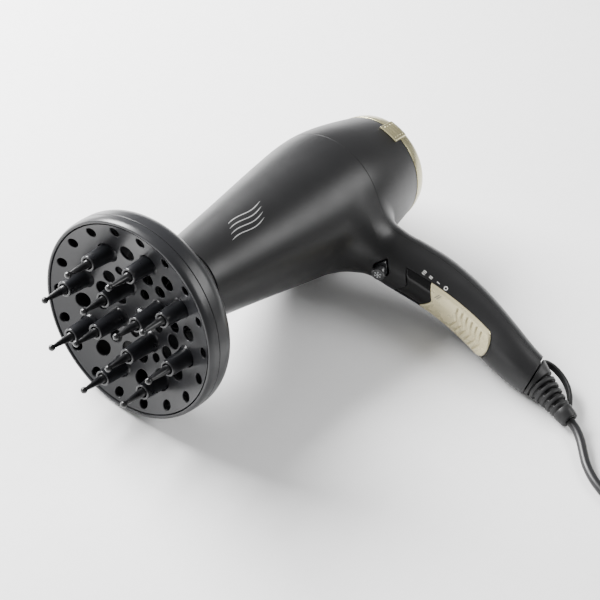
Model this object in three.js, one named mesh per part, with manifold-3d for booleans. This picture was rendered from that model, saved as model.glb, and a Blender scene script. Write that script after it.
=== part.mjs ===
// Handheld hair dryer with a pronged diffuser, modelled as separate pieces.
// Working frame: barrel axis along X (outlet toward -X), grip toward -Z, millimetres.
// The last step lays the whole object down on its side, the way it rests on a table.
import * as THREE from "three";
import Module from "manifold-3d";

const wasm = await Module();
wasm.setup();

// ---------------------------------------------------------------- helpers
const lerp = (a, b, t) => a + (b - a) * t;
function table(rows, u) {
  // smooth (Catmull-Rom) interpolation of rows [u, v1, v2, ...], u ascending
  const n = rows.length;
  if (u <= rows[0][0]) return rows[0].slice(1);
  if (u >= rows[n - 1][0]) return rows[n - 1].slice(1);
  let i = 0;
  while (u > rows[i + 1][0]) i++;
  const p0 = rows[Math.max(0, i - 1)], p1 = rows[i], p2 = rows[i + 1], p3 = rows[Math.min(n - 1, i + 2)];
  const t = (u - p1[0]) / (p2[0] - p1[0]), h = p2[0] - p1[0];
  const out = [];
  for (let k = 1; k < p1.length; k++) {
    const m1 = ((p2[k] - p0[k]) / (p2[0] - p0[0])) * h, m2 = ((p3[k] - p1[k]) / (p3[0] - p1[0])) * h;
    const t2 = t * t, t3 = t2 * t;
    out.push((2 * t3 - 3 * t2 + 1) * p1[k] + (t3 - 2 * t2 + t) * m1 + (-2 * t3 + 3 * t2) * p2[k] + (t3 - t2) * m2);
  }
  return out;
}

function solid(verts, tris) {
  const key = new Map(), vp = [], remap = [];
  verts.forEach((p, i) => {
    const k = p.map((c) => Math.round(c * 1e5)).join(",");
    if (!key.has(k)) { key.set(k, vp.length / 3); vp.push(p[0], p[1], p[2]); }
    remap[i] = key.get(k);
  });
  const tv = [];
  let vol = 0;
  for (const [a, b, c] of tris) {
    const i = remap[a], j = remap[b], k = remap[c];
    if (i === j || j === k || i === k) continue;
    tv.push(i, j, k);
    const A = vp.slice(3 * i, 3 * i + 3), B = vp.slice(3 * j, 3 * j + 3), C = vp.slice(3 * k, 3 * k + 3);
    vol += A[0] * (B[1] * C[2] - B[2] * C[1]) - A[1] * (B[0] * C[2] - B[2] * C[0]) + A[2] * (B[0] * C[1] - B[1] * C[0]);
  }
  if (vol < 0) for (let q = 0; q < tv.length; q += 3) { const s = tv[q]; tv[q] = tv[q + 1]; tv[q + 1] = s; }
  return new wasm.Manifold(new wasm.Mesh({ numProp: 3, vertProperties: new Float32Array(vp), triVerts: new Uint32Array(tv) }));
}
// surface of revolution about X from a closed profile [[x, r], ...]
function revolve(profile, n, y0 = 0, z0 = 0) {
  const v = [], idx = [];
  for (const [x, r] of profile) {
    if (r < 1e-6) { idx.push([v.length, 1]); v.push([x, y0, z0]); continue; }
    idx.push([v.length, n]);
    for (let i = 0; i < n; i++) {
      const a = (2 * Math.PI * i) / n;
      v.push([x, y0 + r * Math.cos(a), z0 + r * Math.sin(a)]);
    }
  }
  const t = [];
  for (let k = 0; k < profile.length; k++) {
    const [s0, n0] = idx[k], [s1, n1] = idx[(k + 1) % profile.length];
    if (n0 === 1 && n1 === 1) continue;
    for (let i = 0; i < n; i++) {
      const j = (i + 1) % n;
      if (n0 === 1) t.push([s0, s1 + i, s1 + j]);
      else if (n1 === 1) t.push([s0 + i, s1, s0 + j]);
      else t.push([s0 + i, s1 + i, s1 + j], [s0 + i, s1 + j, s0 + j]);
    }
  }
  return solid(v, t);
}
// loft through rings; open ends are capped, closed = ring loop (hollow tube)
function loft(rings, closed = false) {
  const n = rings[0].length, v = rings.flat(), t = [];
  const m = rings.length;
  for (let k = 0; k < (closed ? m : m - 1); k++) {
    const a = k * n, b = ((k + 1) % m) * n;
    for (let i = 0; i < n; i++) {
      const j = (i + 1) % n;
      t.push([a + i, b + i, b + j], [a + i, b + j, a + j]);
    }
  }
  if (!closed) {
    for (const [k, flip] of [[0, true], [m - 1, false]]) {
      const c = [0, 0, 0];
      rings[k].forEach((p) => { c[0] += p[0] / n; c[1] += p[1] / n; c[2] += p[2] / n; });
      const ci = v.length; v.push(c);
      for (let i = 0; i < n; i++) {
        const j = (i + 1) % n;
        t.push(flip ? [ci, k * n + i, k * n + j] : [ci, k * n + j, k * n + i]);
      }
    }
  }
  return solid(v, t);
}
// prism: outline [[u, w], ...] mapped by f(u, w, side) for side 0 and 1
function prism(outline, f) {
  const pts = outline.map((p) => new THREE.Vector2(p[0], p[1]));
  if (THREE.ShapeUtils.isClockWise(pts)) pts.reverse();
  const faces = THREE.ShapeUtils.triangulateShape(pts, []);
  const n = pts.length, v = [], t = [];
  for (const s of [0, 1]) pts.forEach((p) => v.push(f(p.x, p.y, s)));
  for (const [a, b, c] of faces) t.push([a, c, b], [n + a, n + b, n + c]);
  for (let i = 0; i < n; i++) { const j = (i + 1) % n; t.push([i, j, n + j], [i, n + j, n + i]); }
  return solid(v, t);
}
const prismXZ = (o, y0, y1) => prism(o, (x, z, s) => [x, s ? y1 : y0, z]);
const prismYZ = (o, x0, x1) => prism(o, (y, z, s) => [s ? x1 : x0, y, z]);
const box = (x0, x1, y0, y1, z0, z1) => prismXZ([[x0, z0], [x1, z0], [x1, z1], [x0, z1]], y0, y1);
function frameOf(dir) {
  const w = new THREE.Vector3(...dir).normalize();
  const h = Math.abs(w.y) < 0.8 ? new THREE.Vector3(0, 1, 0) : new THREE.Vector3(1, 0, 0);
  const u = h.clone().cross(w).normalize();
  return [u, w.clone().cross(u), w];
}
// straight turned piece from p along dir, profile [[s, r], ...] outline from axis to axis
function turned(p, dir, profile, n) {
  const [u, q, w] = frameOf(dir);
  const rings = profile.map(([s, r]) => {
    const ring = [];
    for (let i = 0; i < n; i++) {
      const a = (2 * Math.PI * i) / n;
      ring.push([0, 1, 2].map((k) => p[k] + w.getComponent(k) * s + r * (u.getComponent(k) * Math.cos(a) + q.getComponent(k) * Math.sin(a))));
    }
    return ring;
  });
  return loft(rings);
}
const rod = (p, q, r, n = 16) => {
  const d = [q[0] - p[0], q[1] - p[1], q[2] - p[2]];
  return turned(p, d, [[0, r], [Math.hypot(...d), r]], n);
};
// tube along a polyline with capped ends
function wire(points, r, n = 8, close = false) {
  const P = points.map((p) => new THREE.Vector3(...p)), m = P.length;
  const T = P.map((p, i) => {
    const a = close ? P[(i + m - 1) % m] : P[Math.max(0, i - 1)], b = close ? P[(i + 1) % m] : P[Math.min(m - 1, i + 1)];
    return b.clone().sub(a).normalize();
  });
  let [u] = frameOf(T[0].toArray());
  const rings = [];
  for (let i = 0; i < m; i++) {
    u = u.clone().sub(T[i].clone().multiplyScalar(u.dot(T[i]))).normalize();
    const q = T[i].clone().cross(u);
    const ring = [];
    for (let k = 0; k < n; k++) {
      const a = (2 * Math.PI * k) / n;
      ring.push(P[i].clone().addScaledVector(u, r * Math.cos(a)).addScaledVector(q, r * Math.sin(a)).toArray());
    }
    rings.push(ring);
  }
  return loft(rings, close);
}
const polar = (r, deg) => [r * Math.cos((deg * Math.PI) / 180), r * Math.sin((deg * Math.PI) / 180)];
function roundRect(u0, u1, w0, w1, r, n = 4) {
  const o = [];
  for (const [cu, cw, a0] of [[u1 - r, w1 - r, 0], [u0 + r, w1 - r, 90], [u0 + r, w0 + r, 180], [u1 - r, w0 + r, 270]])
    for (let i = 0; i <= n; i++) { const [a, b] = polar(r, a0 + (90 * i) / n); o.push([cu + a, cw + b]); }
  return o;
}

// ---------------------------------------------------------------- main curves
// barrel radius along X
const BARREL = [[-143, 27.4], [-130, 28.6], [-112, 31.1], [-94, 33.7], [-76, 36.4], [-57, 39.3], [-37, 42.3], [-15, 45.2], [-2, 46.1], [8, 45.9], [20, 44.7], [32, 42.8], [44, 40.5], [53.6, 38.4]];
const barrelR = (x) => table(BARREL, x)[0];
// grip: z, front x, rear x, half width in Y   (stored by -z so it ascends)
const GRIP = [[30, -31, 18, 20], [39, -36.5, 17.6, 20.8], [44, -28.4, 17.0, 20.3], [48, -22.2, 17.1, 19.4], [54, -18.6, 18.2, 18.6], [62, -16.7, 19.9, 18.1], [68, -15.5, 22.2, 18.2], [75, -13.95, 24.4, 18.2], [88, -10.55, 27.5, 18.1], [101, -8.04, 28.7, 17.6], [114, -6.78, 28.6, 16.9], [128, -6.78, 27.1, 16.2], [141, -8.04, 24.6, 15.6], [155, -10.5, 21.2, 15.1], [168, -11.6, 18.0, 14.2], [180, -11.2, 16.2, 13.1], [190, -10.4, 15.2, 12.4]];
const grip = (z) => { const [xf, xr, b] = table(GRIP, -z); return { xf, xr, b, xc: (xf + xr) / 2, a: (xr - xf) / 2 }; };
function gripRing(z, off, n) {
  const g = grip(z), ring = [];
  const o = typeof off === "function" ? off(z) : off;
  for (let i = 0; i < n; i++) {
    const a = (2 * Math.PI * i) / n, c = Math.cos(a), s = Math.sin(a), e = 2 / 2.15;
    ring.push([g.xc + (g.a + o) * Math.sign(c) * Math.abs(c) ** e, (g.b + o) * Math.sign(s) * Math.abs(s) ** e, z]);
  }
  return ring;
}
const gripSolid = (off, zs, n = 40) => loft(zs.map((z) => gripRing(z, off, n)));
const frontX = (z) => grip(z).xf;
// split surface between the two casings
const SPLIT = [[40, 0], [46, 0.2], [52, 0.9], [60, 2.6], [75, 7.0], [90, 10.6], [105, 12.4], [120, 12.6], [135, 11.2], [150, 8.6], [165, 6.0], [181, 4.4], [205, 4.2]];
const splitX = (z) => table(SPLIT, -z)[0];
const WALL = 2.2, GAP = 0.3;

// ---------------------------------------------------------------- the two casings
const SEG = 44;
const frontXs = [-143, -126, -104, -84, -64, -46, -30, -14, -2, 8, 20, 34, 44, 53.2];
const outerProfile = [[-143, 0], [-143, 26.8], [-142.4, 27.4], ...frontXs.slice(1).map((x) => [x, barrelR(x)]), [53.2, 0]];
const outerBarrel = revolve(outerProfile, SEG);
const innerXs = [-146, -122, -80, -40, -14, 8, 26];
const innerBarrel = revolve([[-146, 0], ...innerXs.map((x) => [x, barrelR(x) - WALL]), [44, barrelR(44) - WALL], [60, barrelR(53.6) - WALL - 0.4], [60, 0]], 36);
const zOut = [-32, -40, -44, -48, -54, -62, -75, -88, -101, -114, -128, -141, -155, -168, -180, -190];
const zIn = [-30, -44, -54, -70, -90, -110, -132, -155, -192];
const outerGrip = gripSolid(0, zOut, 32);
const innerGrip = gripSolid(-WALL, zIn, 24);
let shell = outerBarrel.add(outerGrip).subtract(innerBarrel).subtract(innerGrip).subtract(prismXZ([[-30, -190.4], [30, -175.0], [60, -175], [60, -220], [-30, -220]], -40, 40));
const zs = []; for (let z = -30; z >= -190; z -= 8) zs.push(z);
const splitLine = (d) => [[d, 70], [d, -30], ...zs.slice(1).map((z) => [splitX(z) + d, z])];
const frontRegion = prismXZ([[-170, 70], ...splitLine(-0.15), [-170, -190]], -70, 70);
const rearRegion = prismXZ([[90, 70], ...splitLine(0.15), [90, -190]], -70, 70);

// the speed slider runs on an arc whose axis lies ahead of the grip, parallel to Y
const AR = 140, AC = [-146.6, -121];
const drop = (y) => 17.5 * (1 - (1 - (Math.abs(y) / 17.1) ** 2.15) ** (1 / 2.15));
const angAt = (z) => Math.asin((z - AC[1]) / AR);
function arcSweep(ys, rOut, rIn, z0, z1, n) {
  // section between two offset curves, swept about the slider axis; offsets are outward from the grip front
  const a0 = angAt(z0), a1 = angAt(z1), rings = [];
  for (let i = 0; i <= n; i++) {
    const a = lerp(a0, a1, i / n), ring = [];
    for (const y of ys) { const q = AR + drop(y) - rOut(y); ring.push([AC[0] + q * Math.cos(a), y, AC[1] + q * Math.sin(a)]); }
    for (const y of [...ys].reverse()) { const q = AR + drop(y) - rIn(y); ring.push([AC[0] + q * Math.cos(a), y, AC[1] + q * Math.sin(a)]); }
    rings.push(ring);
  }
  return loft(rings);
}
const span = (w, n) => Array.from({ length: n + 1 }, (_, i) => -w + (2 * w * i) / n);
const vee = (w, zs, zc, ze, zb) => [[-w, zs], [-w * 0.5, lerp(zs, zc, 0.7)], [0, zc], [w * 0.5, lerp(zs, zc, 0.7)], [w, zs], [w, ze], [w * 0.76, lerp(ze, zb, 0.58)], [w * 0.42, lerp(ze, zb, 0.88)], [0, zb], [-w * 0.42, lerp(ze, zb, 0.88)], [-w * 0.76, lerp(ze, zb, 0.58)], [-w, ze]];
const windowCut = prismYZ(vee(11.3, -76.6, -82.6, -145.6, -153.2), -40, 4).intersect(arcSweep(span(12, 8), () => 8, () => -5.2, -70, -158, 12));
const stemSlot = prismYZ(roundRect(-3.0, 3.0, -123.4, -96.2, 2, 2), -25, 3);
const btnN = [-0.96, 0, -0.28], btnC = [frontX(-64.2) + 0.1, 0, -64.2];
const [bu, bq, bw] = frameOf(btnN);
// eye-shaped outline in (along grip, across grip): a round cap with a point on each side
function eye(grow) {
  const o = [];
  for (const s of [1, -1]) {
    for (let i = 0; i <= 6; i++) { const [a, b] = polar(5.1 + grow, -38 + (76 * i) / 6); o.push([s * a, s * b]); }
    o.push([s * 0.5, s * (8.4 + grow * 1.3)], [-s * 0.5, s * (8.4 + grow * 1.3)]);
  }
  return o;
}
const onButton = (u, w, s) => [0, 1, 2].map((k) => btnC[k] - bu.getComponent(k) * u + bq.getComponent(k) * w + bw.getComponent(k) * s);
const buttonHole = prism(eye(0.9), (u, w, s) => onButton(u, w, s ? 9 : -9));
let front = shell.intersect(frontRegion);
// bosses that take the two casing screws
const bosses = [[-52, 3.0], [-162, 3.0]];
for (const [z, r] of bosses) front = front.add(rod([frontX(z) + 1.2, 0, z], [splitX(z) - 0.6, 0, z], r, 14));
front = front.subtract(windowCut);
front = front.subtract(buttonHole);
for (const [z] of bosses) front = front.subtract(rod([frontX(z) + 4.2, 0, z], [splitX(z) + 3, 0, z], 1.35, 10));
let rear = shell.intersect(rearRegion);
// rear bosses are stepped from the outside for the screw heads
for (const [z] of bosses) {
  rear = rear.add(rod([splitX(z) + 0.6, 0, z], [grip(z).xr - 1.2, 0, z], 4.4, 14));
  rear = rear.subtract(rod([splitX(z) - 2, 0, z], [grip(z).xr + 4, 0, z], 1.7, 10));
  rear = rear.subtract(rod([grip(z).xr - 6.5, 0, z], [grip(z).xr + 4, 0, z], 3.3, 14));
}
// rear seat for the filter cover
const NODES = [];
const put = (name, body, color, roughness, metalness = 0) => NODES.push({ name, body, color, roughness, metalness });

const CHAR = "#3a3b3d", BLACK = "#191a1c", GLOSS = "#0c0c0d", GOLD = "#b9a679", CREAM = "#d8cba0", STEEL = "#b8bcc0", BRASS = "#b48a45", MICA = "#b9ad92", COPPER = "#b06a3c", DARK = "#2b2c2f";
put("front_casing", front, CHAR, 0.42);
put("rear_casing", rear, CHAR, 0.42);

// screws driven from behind
bosses.forEach(([z], i) => {
  const x1 = grip(z).xr - 6.7;
  put(i ? "casing_screw_lower" : "casing_screw_upper", turned([x1 + 2.5, 0, z], [-1, 0, 0], [[0, 2.9], [2.2, 3.0], [2.21, 1.1], [x1 - 0.2 - (frontX(z) + 4.6), 1.1], [x1 + 1.2 - (frontX(z) + 4.6), 0.35]], 12), STEEL, 0.35, 1);
});

// ---------------------------------------------------------------- rear cover, grille, filter
const ringProf = [[53.7, 35.4], [53.7, 38.6], [56.6, 38.3], [60.6, 37.3], [62.6, 36.5], [63.2, 35.7], [63.2, 34.2], [57.6, 34.0], [57.6, 34.5], [49.4, 34.5], [49.4, 35.4]];
let ring = revolve(ringProf, 44);
for (const s of [-1, 1]) {
  // finger tabs with ridges on both flanks
  const tab = [];
  const half = 10.5, c0 = s < 0 ? 180 : 0;
  const arc = (r, x) => { const o = []; for (let i = 0; i <= 3; i++) { const a = c0 - half + (2 * half * i) / 3; const [y, z] = polar(r, a - s * 3); o.push([x, y, z]); } return o; };
  const cut = (r0, r1, x0, x1) => {
    const A = arc(r0, x0), B = arc(r1, x0), C = arc(r1 - 0.25, x1), D = arc(r0, x1), v = [...A, ...B, ...C, ...D], t = [], m = A.length;
    const q = (a, b) => { for (let i = 0; i < m - 1; i++) t.push([a * m + i, b * m + i, b * m + i + 1], [a * m + i, b * m + i + 1, a * m + i + 1]); };
    q(0, 1); q(1, 2); q(2, 3); q(3, 0);
    t.push([0, 2 * m, m], [0, 3 * m, 2 * m], [m - 1, 2 * m - 1, 3 * m - 1], [m - 1, 3 * m - 1, 4 * m - 1]);
    return solid(v, t);
  };
  ring = ring.add(cut(37.4, 41.6, 45.6, 58.6).add(cut(40.6, 42.3, 47.4, 48.6)).add(cut(40.6, 42.2, 50.1, 51.3)).add(cut(40.6, 42.1, 52.8, 54.0)).add(cut(40.6, 41.9, 55.5, 56.7)).subtract(revolve([[34, 0], [34, barrelR(34) + 0.3], [44, barrelR(44) + 0.3], [53.2, barrelR(53.2) + 0.3], [53.65, barrelR(53.2) + 0.3], [53.65, 0]], 44)));
}
put("rear_cover_ring", ring, GOLD, 0.38, 0.85);

let grille = revolve([[58.0, 32.4], [58.0, 33.6], [61.0, 33.6], [61.0, 32.4]], 32);
for (const r of [9, 20.5]) grille = grille.add(revolve([[58.8, r], [58.8, r + 1.5], [60.6, r + 1.5], [60.6, r]], 24));
for (let i = 0; i < 8; i++) {
  const a = (i * 45 * Math.PI) / 180, c = Math.cos(a), s = Math.sin(a), w = 0.65;
  const o = [[9.5, -w], [32.9, -w], [32.9, w], [9.5, w]].map(([r, q]) => [r * c - q * s, r * s + q * c]);
  grille = grille.add(prismYZ(o, 58.4, 60.6));
}
grille = grille.add(revolve([[58.6, 0], [58.6, 5.4], [60.9, 5.0], [61.5, 0]], 16));
for (let i = 0; i < 4; i++) {
  const a = ((i * 90 + 15) * Math.PI) / 180, c = Math.cos(a), s = Math.sin(a), w = 0.65;
  const o = [[4.8, -w], [9.6, -w], [9.6, w], [4.8, w]].map(([r, q]) => [r * c - q * s, r * s + q * c]);
  grille = grille.add(prismYZ(o, 58.8, 60.5));
}
put("rear_grille", grille, BLACK, 0.5);

// lint filter: framed thin screen with round windows
let filter = revolve([[54.4, 0], [54.4, 33.6], [57.2, 33.6], [57.2, 32.0], [55.2, 32.0], [55.2, 0]], 36);
for (const [r, n, q] of [[26.6, 10, 4.8], [14.6, 6, 4.8]])
  for (let i = 0; i < n; i++) { const [y, z] = polar(r, (360 * i) / n); filter = filter.subtract(rod([53, y, z], [57, y, z], q, 6)); }
put("lint_filter", filter, STEEL, 0.4, 1);

// ---------------------------------------------------------------- motor, fan, duct
let duct = revolve([[-22, 35.7], [-22, 37.2], [39, 37.2], [39, 38.1], [42.5, 38.1], [42.5, 35.7]], 36);
let sleeve = revolve([[-16, 17.2], [-16, 18.6], [16, 18.6], [16, 17.2]], 28);
duct = duct.add(sleeve);
for (let i = 0; i < 7; i++) {
  // slanted flat stator vanes
  const rings = [];
  for (const r of [17.9, 36.4]) {
    const a = ((i * 360) / 7 + 2) * (Math.PI / 180), ring = [];
    for (const [x, q] of [[-14, 0.7], [12, 3.7], [12, 5.1], [-14, -0.7]]) ring.push([x, r * Math.cos(a) - q * Math.sin(a), r * Math.sin(a) + q * Math.cos(a)]);
    rings.push(ring);
  }
  duct = duct.add(loft(rings));
}
put("motor_mount_duct", duct, DARK, 0.55);
let motor = revolve([[-20, 0], [-20, 5], [-17.5, 5], [-17.5, 14.5], [-16.4, 16.9], [17.4, 16.9], [18.6, 14.5], [18.6, 5.4], [21, 5.4], [21, 1.9], [2, 1.9], [2, 0]], 24);
put("motor", motor, STEEL, 0.4, 1);
put("motor_shaft", revolve([[2.4, 0], [2.4, 1.5], [39.5, 1.5], [40, 1.1], [40, 0]], 14), STEEL, 0.25, 1);
let fan = revolve([[23, 1.7], [23, 9.5], [36, 8.6], [38.8, 5.2], [38.8, 1.7]], 20);
for (let i = 0; i < 8; i++) {
  const rings = [];
  for (const [r, x0, x1, tw, sk] of [[8.4, 25.0, 34.5, 0, 26], [20, 24.4, 36.6, 6, 24], [34.6, 24.6, 38.0, 10, 20]]) {
    const ring = [], base = (i * 45 + tw) * (Math.PI / 180), d = (sk * Math.PI) / 180, th = 0.65 / r;
    for (const [x, a] of [[x0, base - th], [x1, base + d - th], [x1, base + d + th], [x0, base + th]]) ring.push([x, r * Math.cos(a), r * Math.sin(a)]);
    rings.push(ring);
  }
  fan = fan.add(loft(rings));
}
put("fan", fan, "#8e2f2b", 0.45);

// ---------------------------------------------------------------- heater
put("heat_shield", revolve([[-122, 24.6], [-122, 25.3], [-34, 25.3], [-26, 34.6], [-23.2, 34.6], [-23.2, 33.9], [-25.8, 33.9], [-33.6, 24.6]], 32), MICA, 0.6);
let cross = box(-120, -40, -0.5, 0.5, -18.8, 18.8).add(box(-120, -40, -18.8, 18.8, -0.5, 0.5));
put("heater_cross", cross, MICA, 0.7);
const coil = [];
for (let i = 0; i <= 60; i++) { const a = (i / 10) * 2 * Math.PI; const [y, z] = [21.3 * Math.cos(a), 21.3 * Math.sin(a)]; coil.push([-112 + (i / 60) * 62, y, z]); }
put("heater_coil", wire(coil, 1.1, 4), COPPER, 0.4, 1);
put("thermal_cutout", box(-74, -60, 2, 9.5, 2, 8.5).subtract(box(-75, -72, 4, 8, 4, 9)), BRASS, 0.4, 0.8);
put("thermal_fuse", rod([-98, -6, 6], [-86, -6, 6], 2.1, 12), STEEL, 0.3, 1);

// outlet collar and front guard
put("outlet_collar", revolve([[-158, 22.7], [-158, 24.0], [-157, 24.4], [-144, 24.4], [-144, 24.8], [-123, 24.8], [-123, 22.7]], 40), BLACK, 0.45);
let guard = revolve([[-154, 21.0], [-154, 22.5], [-151, 22.5], [-151, 21.0]], 32);
for (const r of [6.2, 13.4]) guard = guard.add(revolve([[-153.6, r], [-153.6, r + 1.1], [-151.4, r + 1.1], [-151.4, r]], 16));
for (let i = 0; i < 6; i++) {
  const a = (i * 60 * Math.PI) / 180, c = Math.cos(a), s = Math.sin(a), w = 0.5;
  const o = [[6.6, -w], [21.8, -w], [21.8, w], [6.6, w]].map(([r, q]) => [r * c - q * s, r * s + q * c]);
  guard = guard.add(prismYZ(o, -153.4, -151.6));
}
put("outlet_guard", guard, BLACK, 0.4);

// ---------------------------------------------------------------- diffuser
// fitting sleeve that grips the outlet collar
put("diffuser_sleeve", revolve([[-161.6, 24.8], [-161.6, 26.0], [-147.6, 26.0], [-147.6, 27.6], [-144.2, 27.6], [-144.2, 24.8]], 40), BLACK, 0.5);
const bell = revolve([[-148.0, 26.4], [-148.0, 28.2], [-151, 30.2], [-161.6, 43], [-172.6, 58.6], [-178.2, 64.4], [-182.6, 66.1], [-190.2, 66.3], [-190.2, 64.2], [-183.4, 63.9], [-179.6, 62.2], [-174.2, 56.8], [-163.4, 42.2], [-159.6, 36.8], [-159.6, 26.4]], 44);
put("diffuser_bell", bell, DARK, 0.4);
put("diffuser_bezel", revolve([[-190.5, 64.3], [-190.5, 66.3], [-195.4, 66.0], [-197.3, 65.5], [-198.0, 64.6], [-197.7, 63.5], [-195.8, 62.9], [-191.8, 62.7], [-191.8, 64.3]], 44), DARK, 0.35);
// dish plate, hollow finger sleeves, air holes
const dishX = (r) => -184.0 - 12.0 * (r / 62.2) ** 2;
const dr = [0, 24, 44, 62.3];
let plate = revolve([...dr.map((r) => [dishX(r) - 1.0, r]), ...[...dr].reverse().map((r) => [dishX(r) + 1.0, r])], 32);
const FING = [];
for (let i = 0; i < 8; i++) FING.push([...polar(42.3, 38 + 45 * i), 42.3]);
for (let i = 0; i < 4; i++) FING.push([...polar(18.6, 38 + 90 * i), 18.6]);
for (const [y, z, r] of FING) plate = plate.add(turned([dishX(r) + 0.4, y, z], [-1, 0, 0], [[0, 5.8], [208.3 + dishX(r) + 0.4, 5.0]], 10));
for (const [y, z, r] of FING) plate = plate.subtract(rod([-201.8, y, z], [-211, y, z], 3.6, 8));
const HOLES = [];
for (let i = 0; i < 18; i++) HOLES.push([57.4, 7 + 20 * i, 2.9, 5]);
for (let i = 0; i < 8; i++) HOLES.push([42.3, 60.5 + 45 * i, 4.8, 6]);
for (let i = 0; i < 16; i++) HOLES.push([28.9, 38 + 22.5 * i, i % 4 === 2 ? 4.2 : i % 4 === 0 ? 2.6 : 3.2, 5]);
for (let i = 0; i < 4; i++) HOLES.push([15.2, 83 + 90 * i, 3.2, 5]);
for (const [r, a, q, n] of HOLES) { const [y, z] = polar(r, a); plate = plate.subtract(rod([dishX(r) - 4, y, z], [dishX(r) + 4, y, z], q, n)); }
// centre boss for the fixing screw
plate = plate.add(rod([dishX(0) - 1.4, 0, 0], [-176, 0, 0], 4.6, 12)).subtract(rod([-182.6, 0, 0], [-172, 0, 0], 1.7, 6)).subtract(rod([-190, 0, 0], [-184.2, 0, 0], 3.2, 10));
put("diffuser_plate", plate, DARK, 0.35);
put("diffuser_screw", revolve([[-185.6, 0], [-185.4, 2.2], [-184.4, 2.8], [-184.4, 0]], 12), STEEL, 0.2, 1);
FING.forEach(([y, z], i) => {
  const p = turned([-202.0, y, z], [-1, 0, 0], [[0, 3.2], [4.4, 3.2], [20.8, 1.35], [22.1, 2.1], [23.5, 2.1], [24.5, 1.0]], 8);
  put("finger_pin_" + String(i + 1).padStart(2, "0"), p, GLOSS, 0.25);
});

// ---------------------------------------------------------------- speed slider and its track plate
// recessed plate that closes the window in the grip; the slider runs over it
const plateBody = prismYZ(vee(11.12, -76.8, -82.8, -145.4, -153.0), -40, 6).intersect(arcSweep(span(11.6, 8), () => -1.3, () => -2.7, -70, -158, 10)).subtract(stemSlot);
put("slider_track", plateBody, GLOSS, 0.15);
// thumb slider with a vee-shaped upper edge
const edge = (y) => 0.9 - 0.9 * Math.max(0, (Math.abs(y) - 9.4) / 1.4) ** 2;
const sliderYs = [-10.8, -10.3, -9.6, -7, -3.5, 0, 3.5, 7, 9.6, 10.3, 10.8];
let slider = prismYZ(vee(10.82, -96, -102, -144.4, -151.4), -40, 4).intersect(arcSweep(sliderYs, edge, () => -1.0, -90, -156, 10));
slider = slider.add(prismYZ([[-2.4, -120.4], [2.4, -120.4], [2.4, -115.6], [-2.4, -115.6]], -6.2, -2.4));
// chevron grooves for the thumb
for (let i = 0; i < 5; i++) {
  const z0 = -128.4 - i * 4.3;
  const o = [[-9.0, z0 + 3.6], [0, z0], [9.0, z0 + 3.6], [9.0, z0 + 4.7], [0, z0 + 1.2], [-9.0, z0 + 4.7]];
  slider = slider.subtract(prismYZ(o, -40, 4).intersect(arcSweep(span(9.6, 4), () => 3, (y) => edge(y) - 0.75, -118, -156, 6)));
}
put("speed_slider", slider, CREAM, 0.35, 0.6);

// carrier, switch, board
put("slider_carrier", box(-2.0, 1.2, -6.5, 6.5, -123.2, -112.8).subtract(box(-4, -0.6, -2.8, 2.8, -121.4, -114.6)), BLACK, 0.5);
put("speed_switch", box(2.0, 10.4, -8, 8, -130, -92).subtract(box(0.6, 4.2, -2.6, 2.6, -126, -96)), "#20242a", 0.5);
put("circuit_board", box(13.8, 15.4, -10.0, 10.0, -142, -94), "#2f5a3a", 0.5);
put("capacitor", box(15.8, 22.6, -6, 6, -114, -100), "#b9852e", 0.45);

// cool-shot button, its spring and micro switch
const bp0 = (s) => onButton(0, 0, s);
let button = prism(eye(0.2), (u, w, s) => onButton(u, w, s ? 0.6 : -2.6)).add(turned(bp0(-1), btnN, [[0, 4.8], [4.8, 4.7], [5.7, 4.0], [6.0, 2.4]], 18));
const bp = (s) => onButton(0, 0, s);
button = button.add(rod(bp(-2.0), bp(-8.6), 1.6, 12));
put("cool_shot_button", button, BLACK, 0.2);
const sp = [];
for (let i = 0; i <= 36; i++) { const a = (i / 9) * 2 * Math.PI; sp.push([0, 1, 2].map((k) => bp(-5.7 - (i / 36) * 4.7)[k] + bu.getComponent(k) * 2.7 * Math.cos(a) + bq.getComponent(k) * 2.7 * Math.sin(a))); }
put("button_spring", wire(sp, 0.32, 4), STEEL, 0.3, 1);
let micro = prism(roundRect(-4.2, 4.2, -4, 4, 0.8, 1), (u, w, s) => onButton(u, w, s ? -11.0 : -17.5)).subtract(rod(bp(-10.7), bp(-13.5), 1.95, 10));
put("micro_switch", micro, "#23262c", 0.5);

// ---------------------------------------------------------------- cord entry
const rA = (s, a, b, n = 14) => {
  // station s along the relief, tilt grows from level to square with the axis
  const c = [2.5 - 0.24 * s, 0, -183.2 - 0.966 * s];
  const tl = lerp(-0.252, 0.24, Math.min(1, s / 9));
  const ring = [];
  for (let i = 0; i < n; i++) { const t = (2 * Math.PI * i) / n; ring.push([c[0] + a * Math.cos(t) * Math.cos(tl), b * Math.sin(t), c[2] - a * Math.cos(t) * Math.sin(tl)]); }
  return ring;
};
const relOuter = [[0.45, 13.1, 12.5], [3.0, 12.2, 11.7], [6.6, 10.9, 10.5]];
for (let i = 0; i < 5; i++) {
  const s = 7.0 + i * 4.5, a = 9.9 - i * 0.72;
  relOuter.push([s + 0.2, 6.6 - i * 0.3, 6.6 - i * 0.3], [s + 1.9, 6.6 - i * 0.3, 6.6 - i * 0.3], [s + 2.1, a, a], [s + 4.1, a - 0.25, a - 0.25]);
}
relOuter.push([29.8, 6.1, 6.1], [30.6, 6.9, 6.9], [38.4, 6.0, 6.0], [39.0, 5.4, 5.4]);
const relInner = [[39.0, 3.4, 3.4], [20, 3.4, 3.4], [8, 4.2, 4.2], [0.45, 6, 6]];
put("strain_relief", loft([...relOuter.map((r) => rA(...r)), ...relInner.map((r) => rA(...r))], true), "#1d1e20", 0.5);
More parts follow.
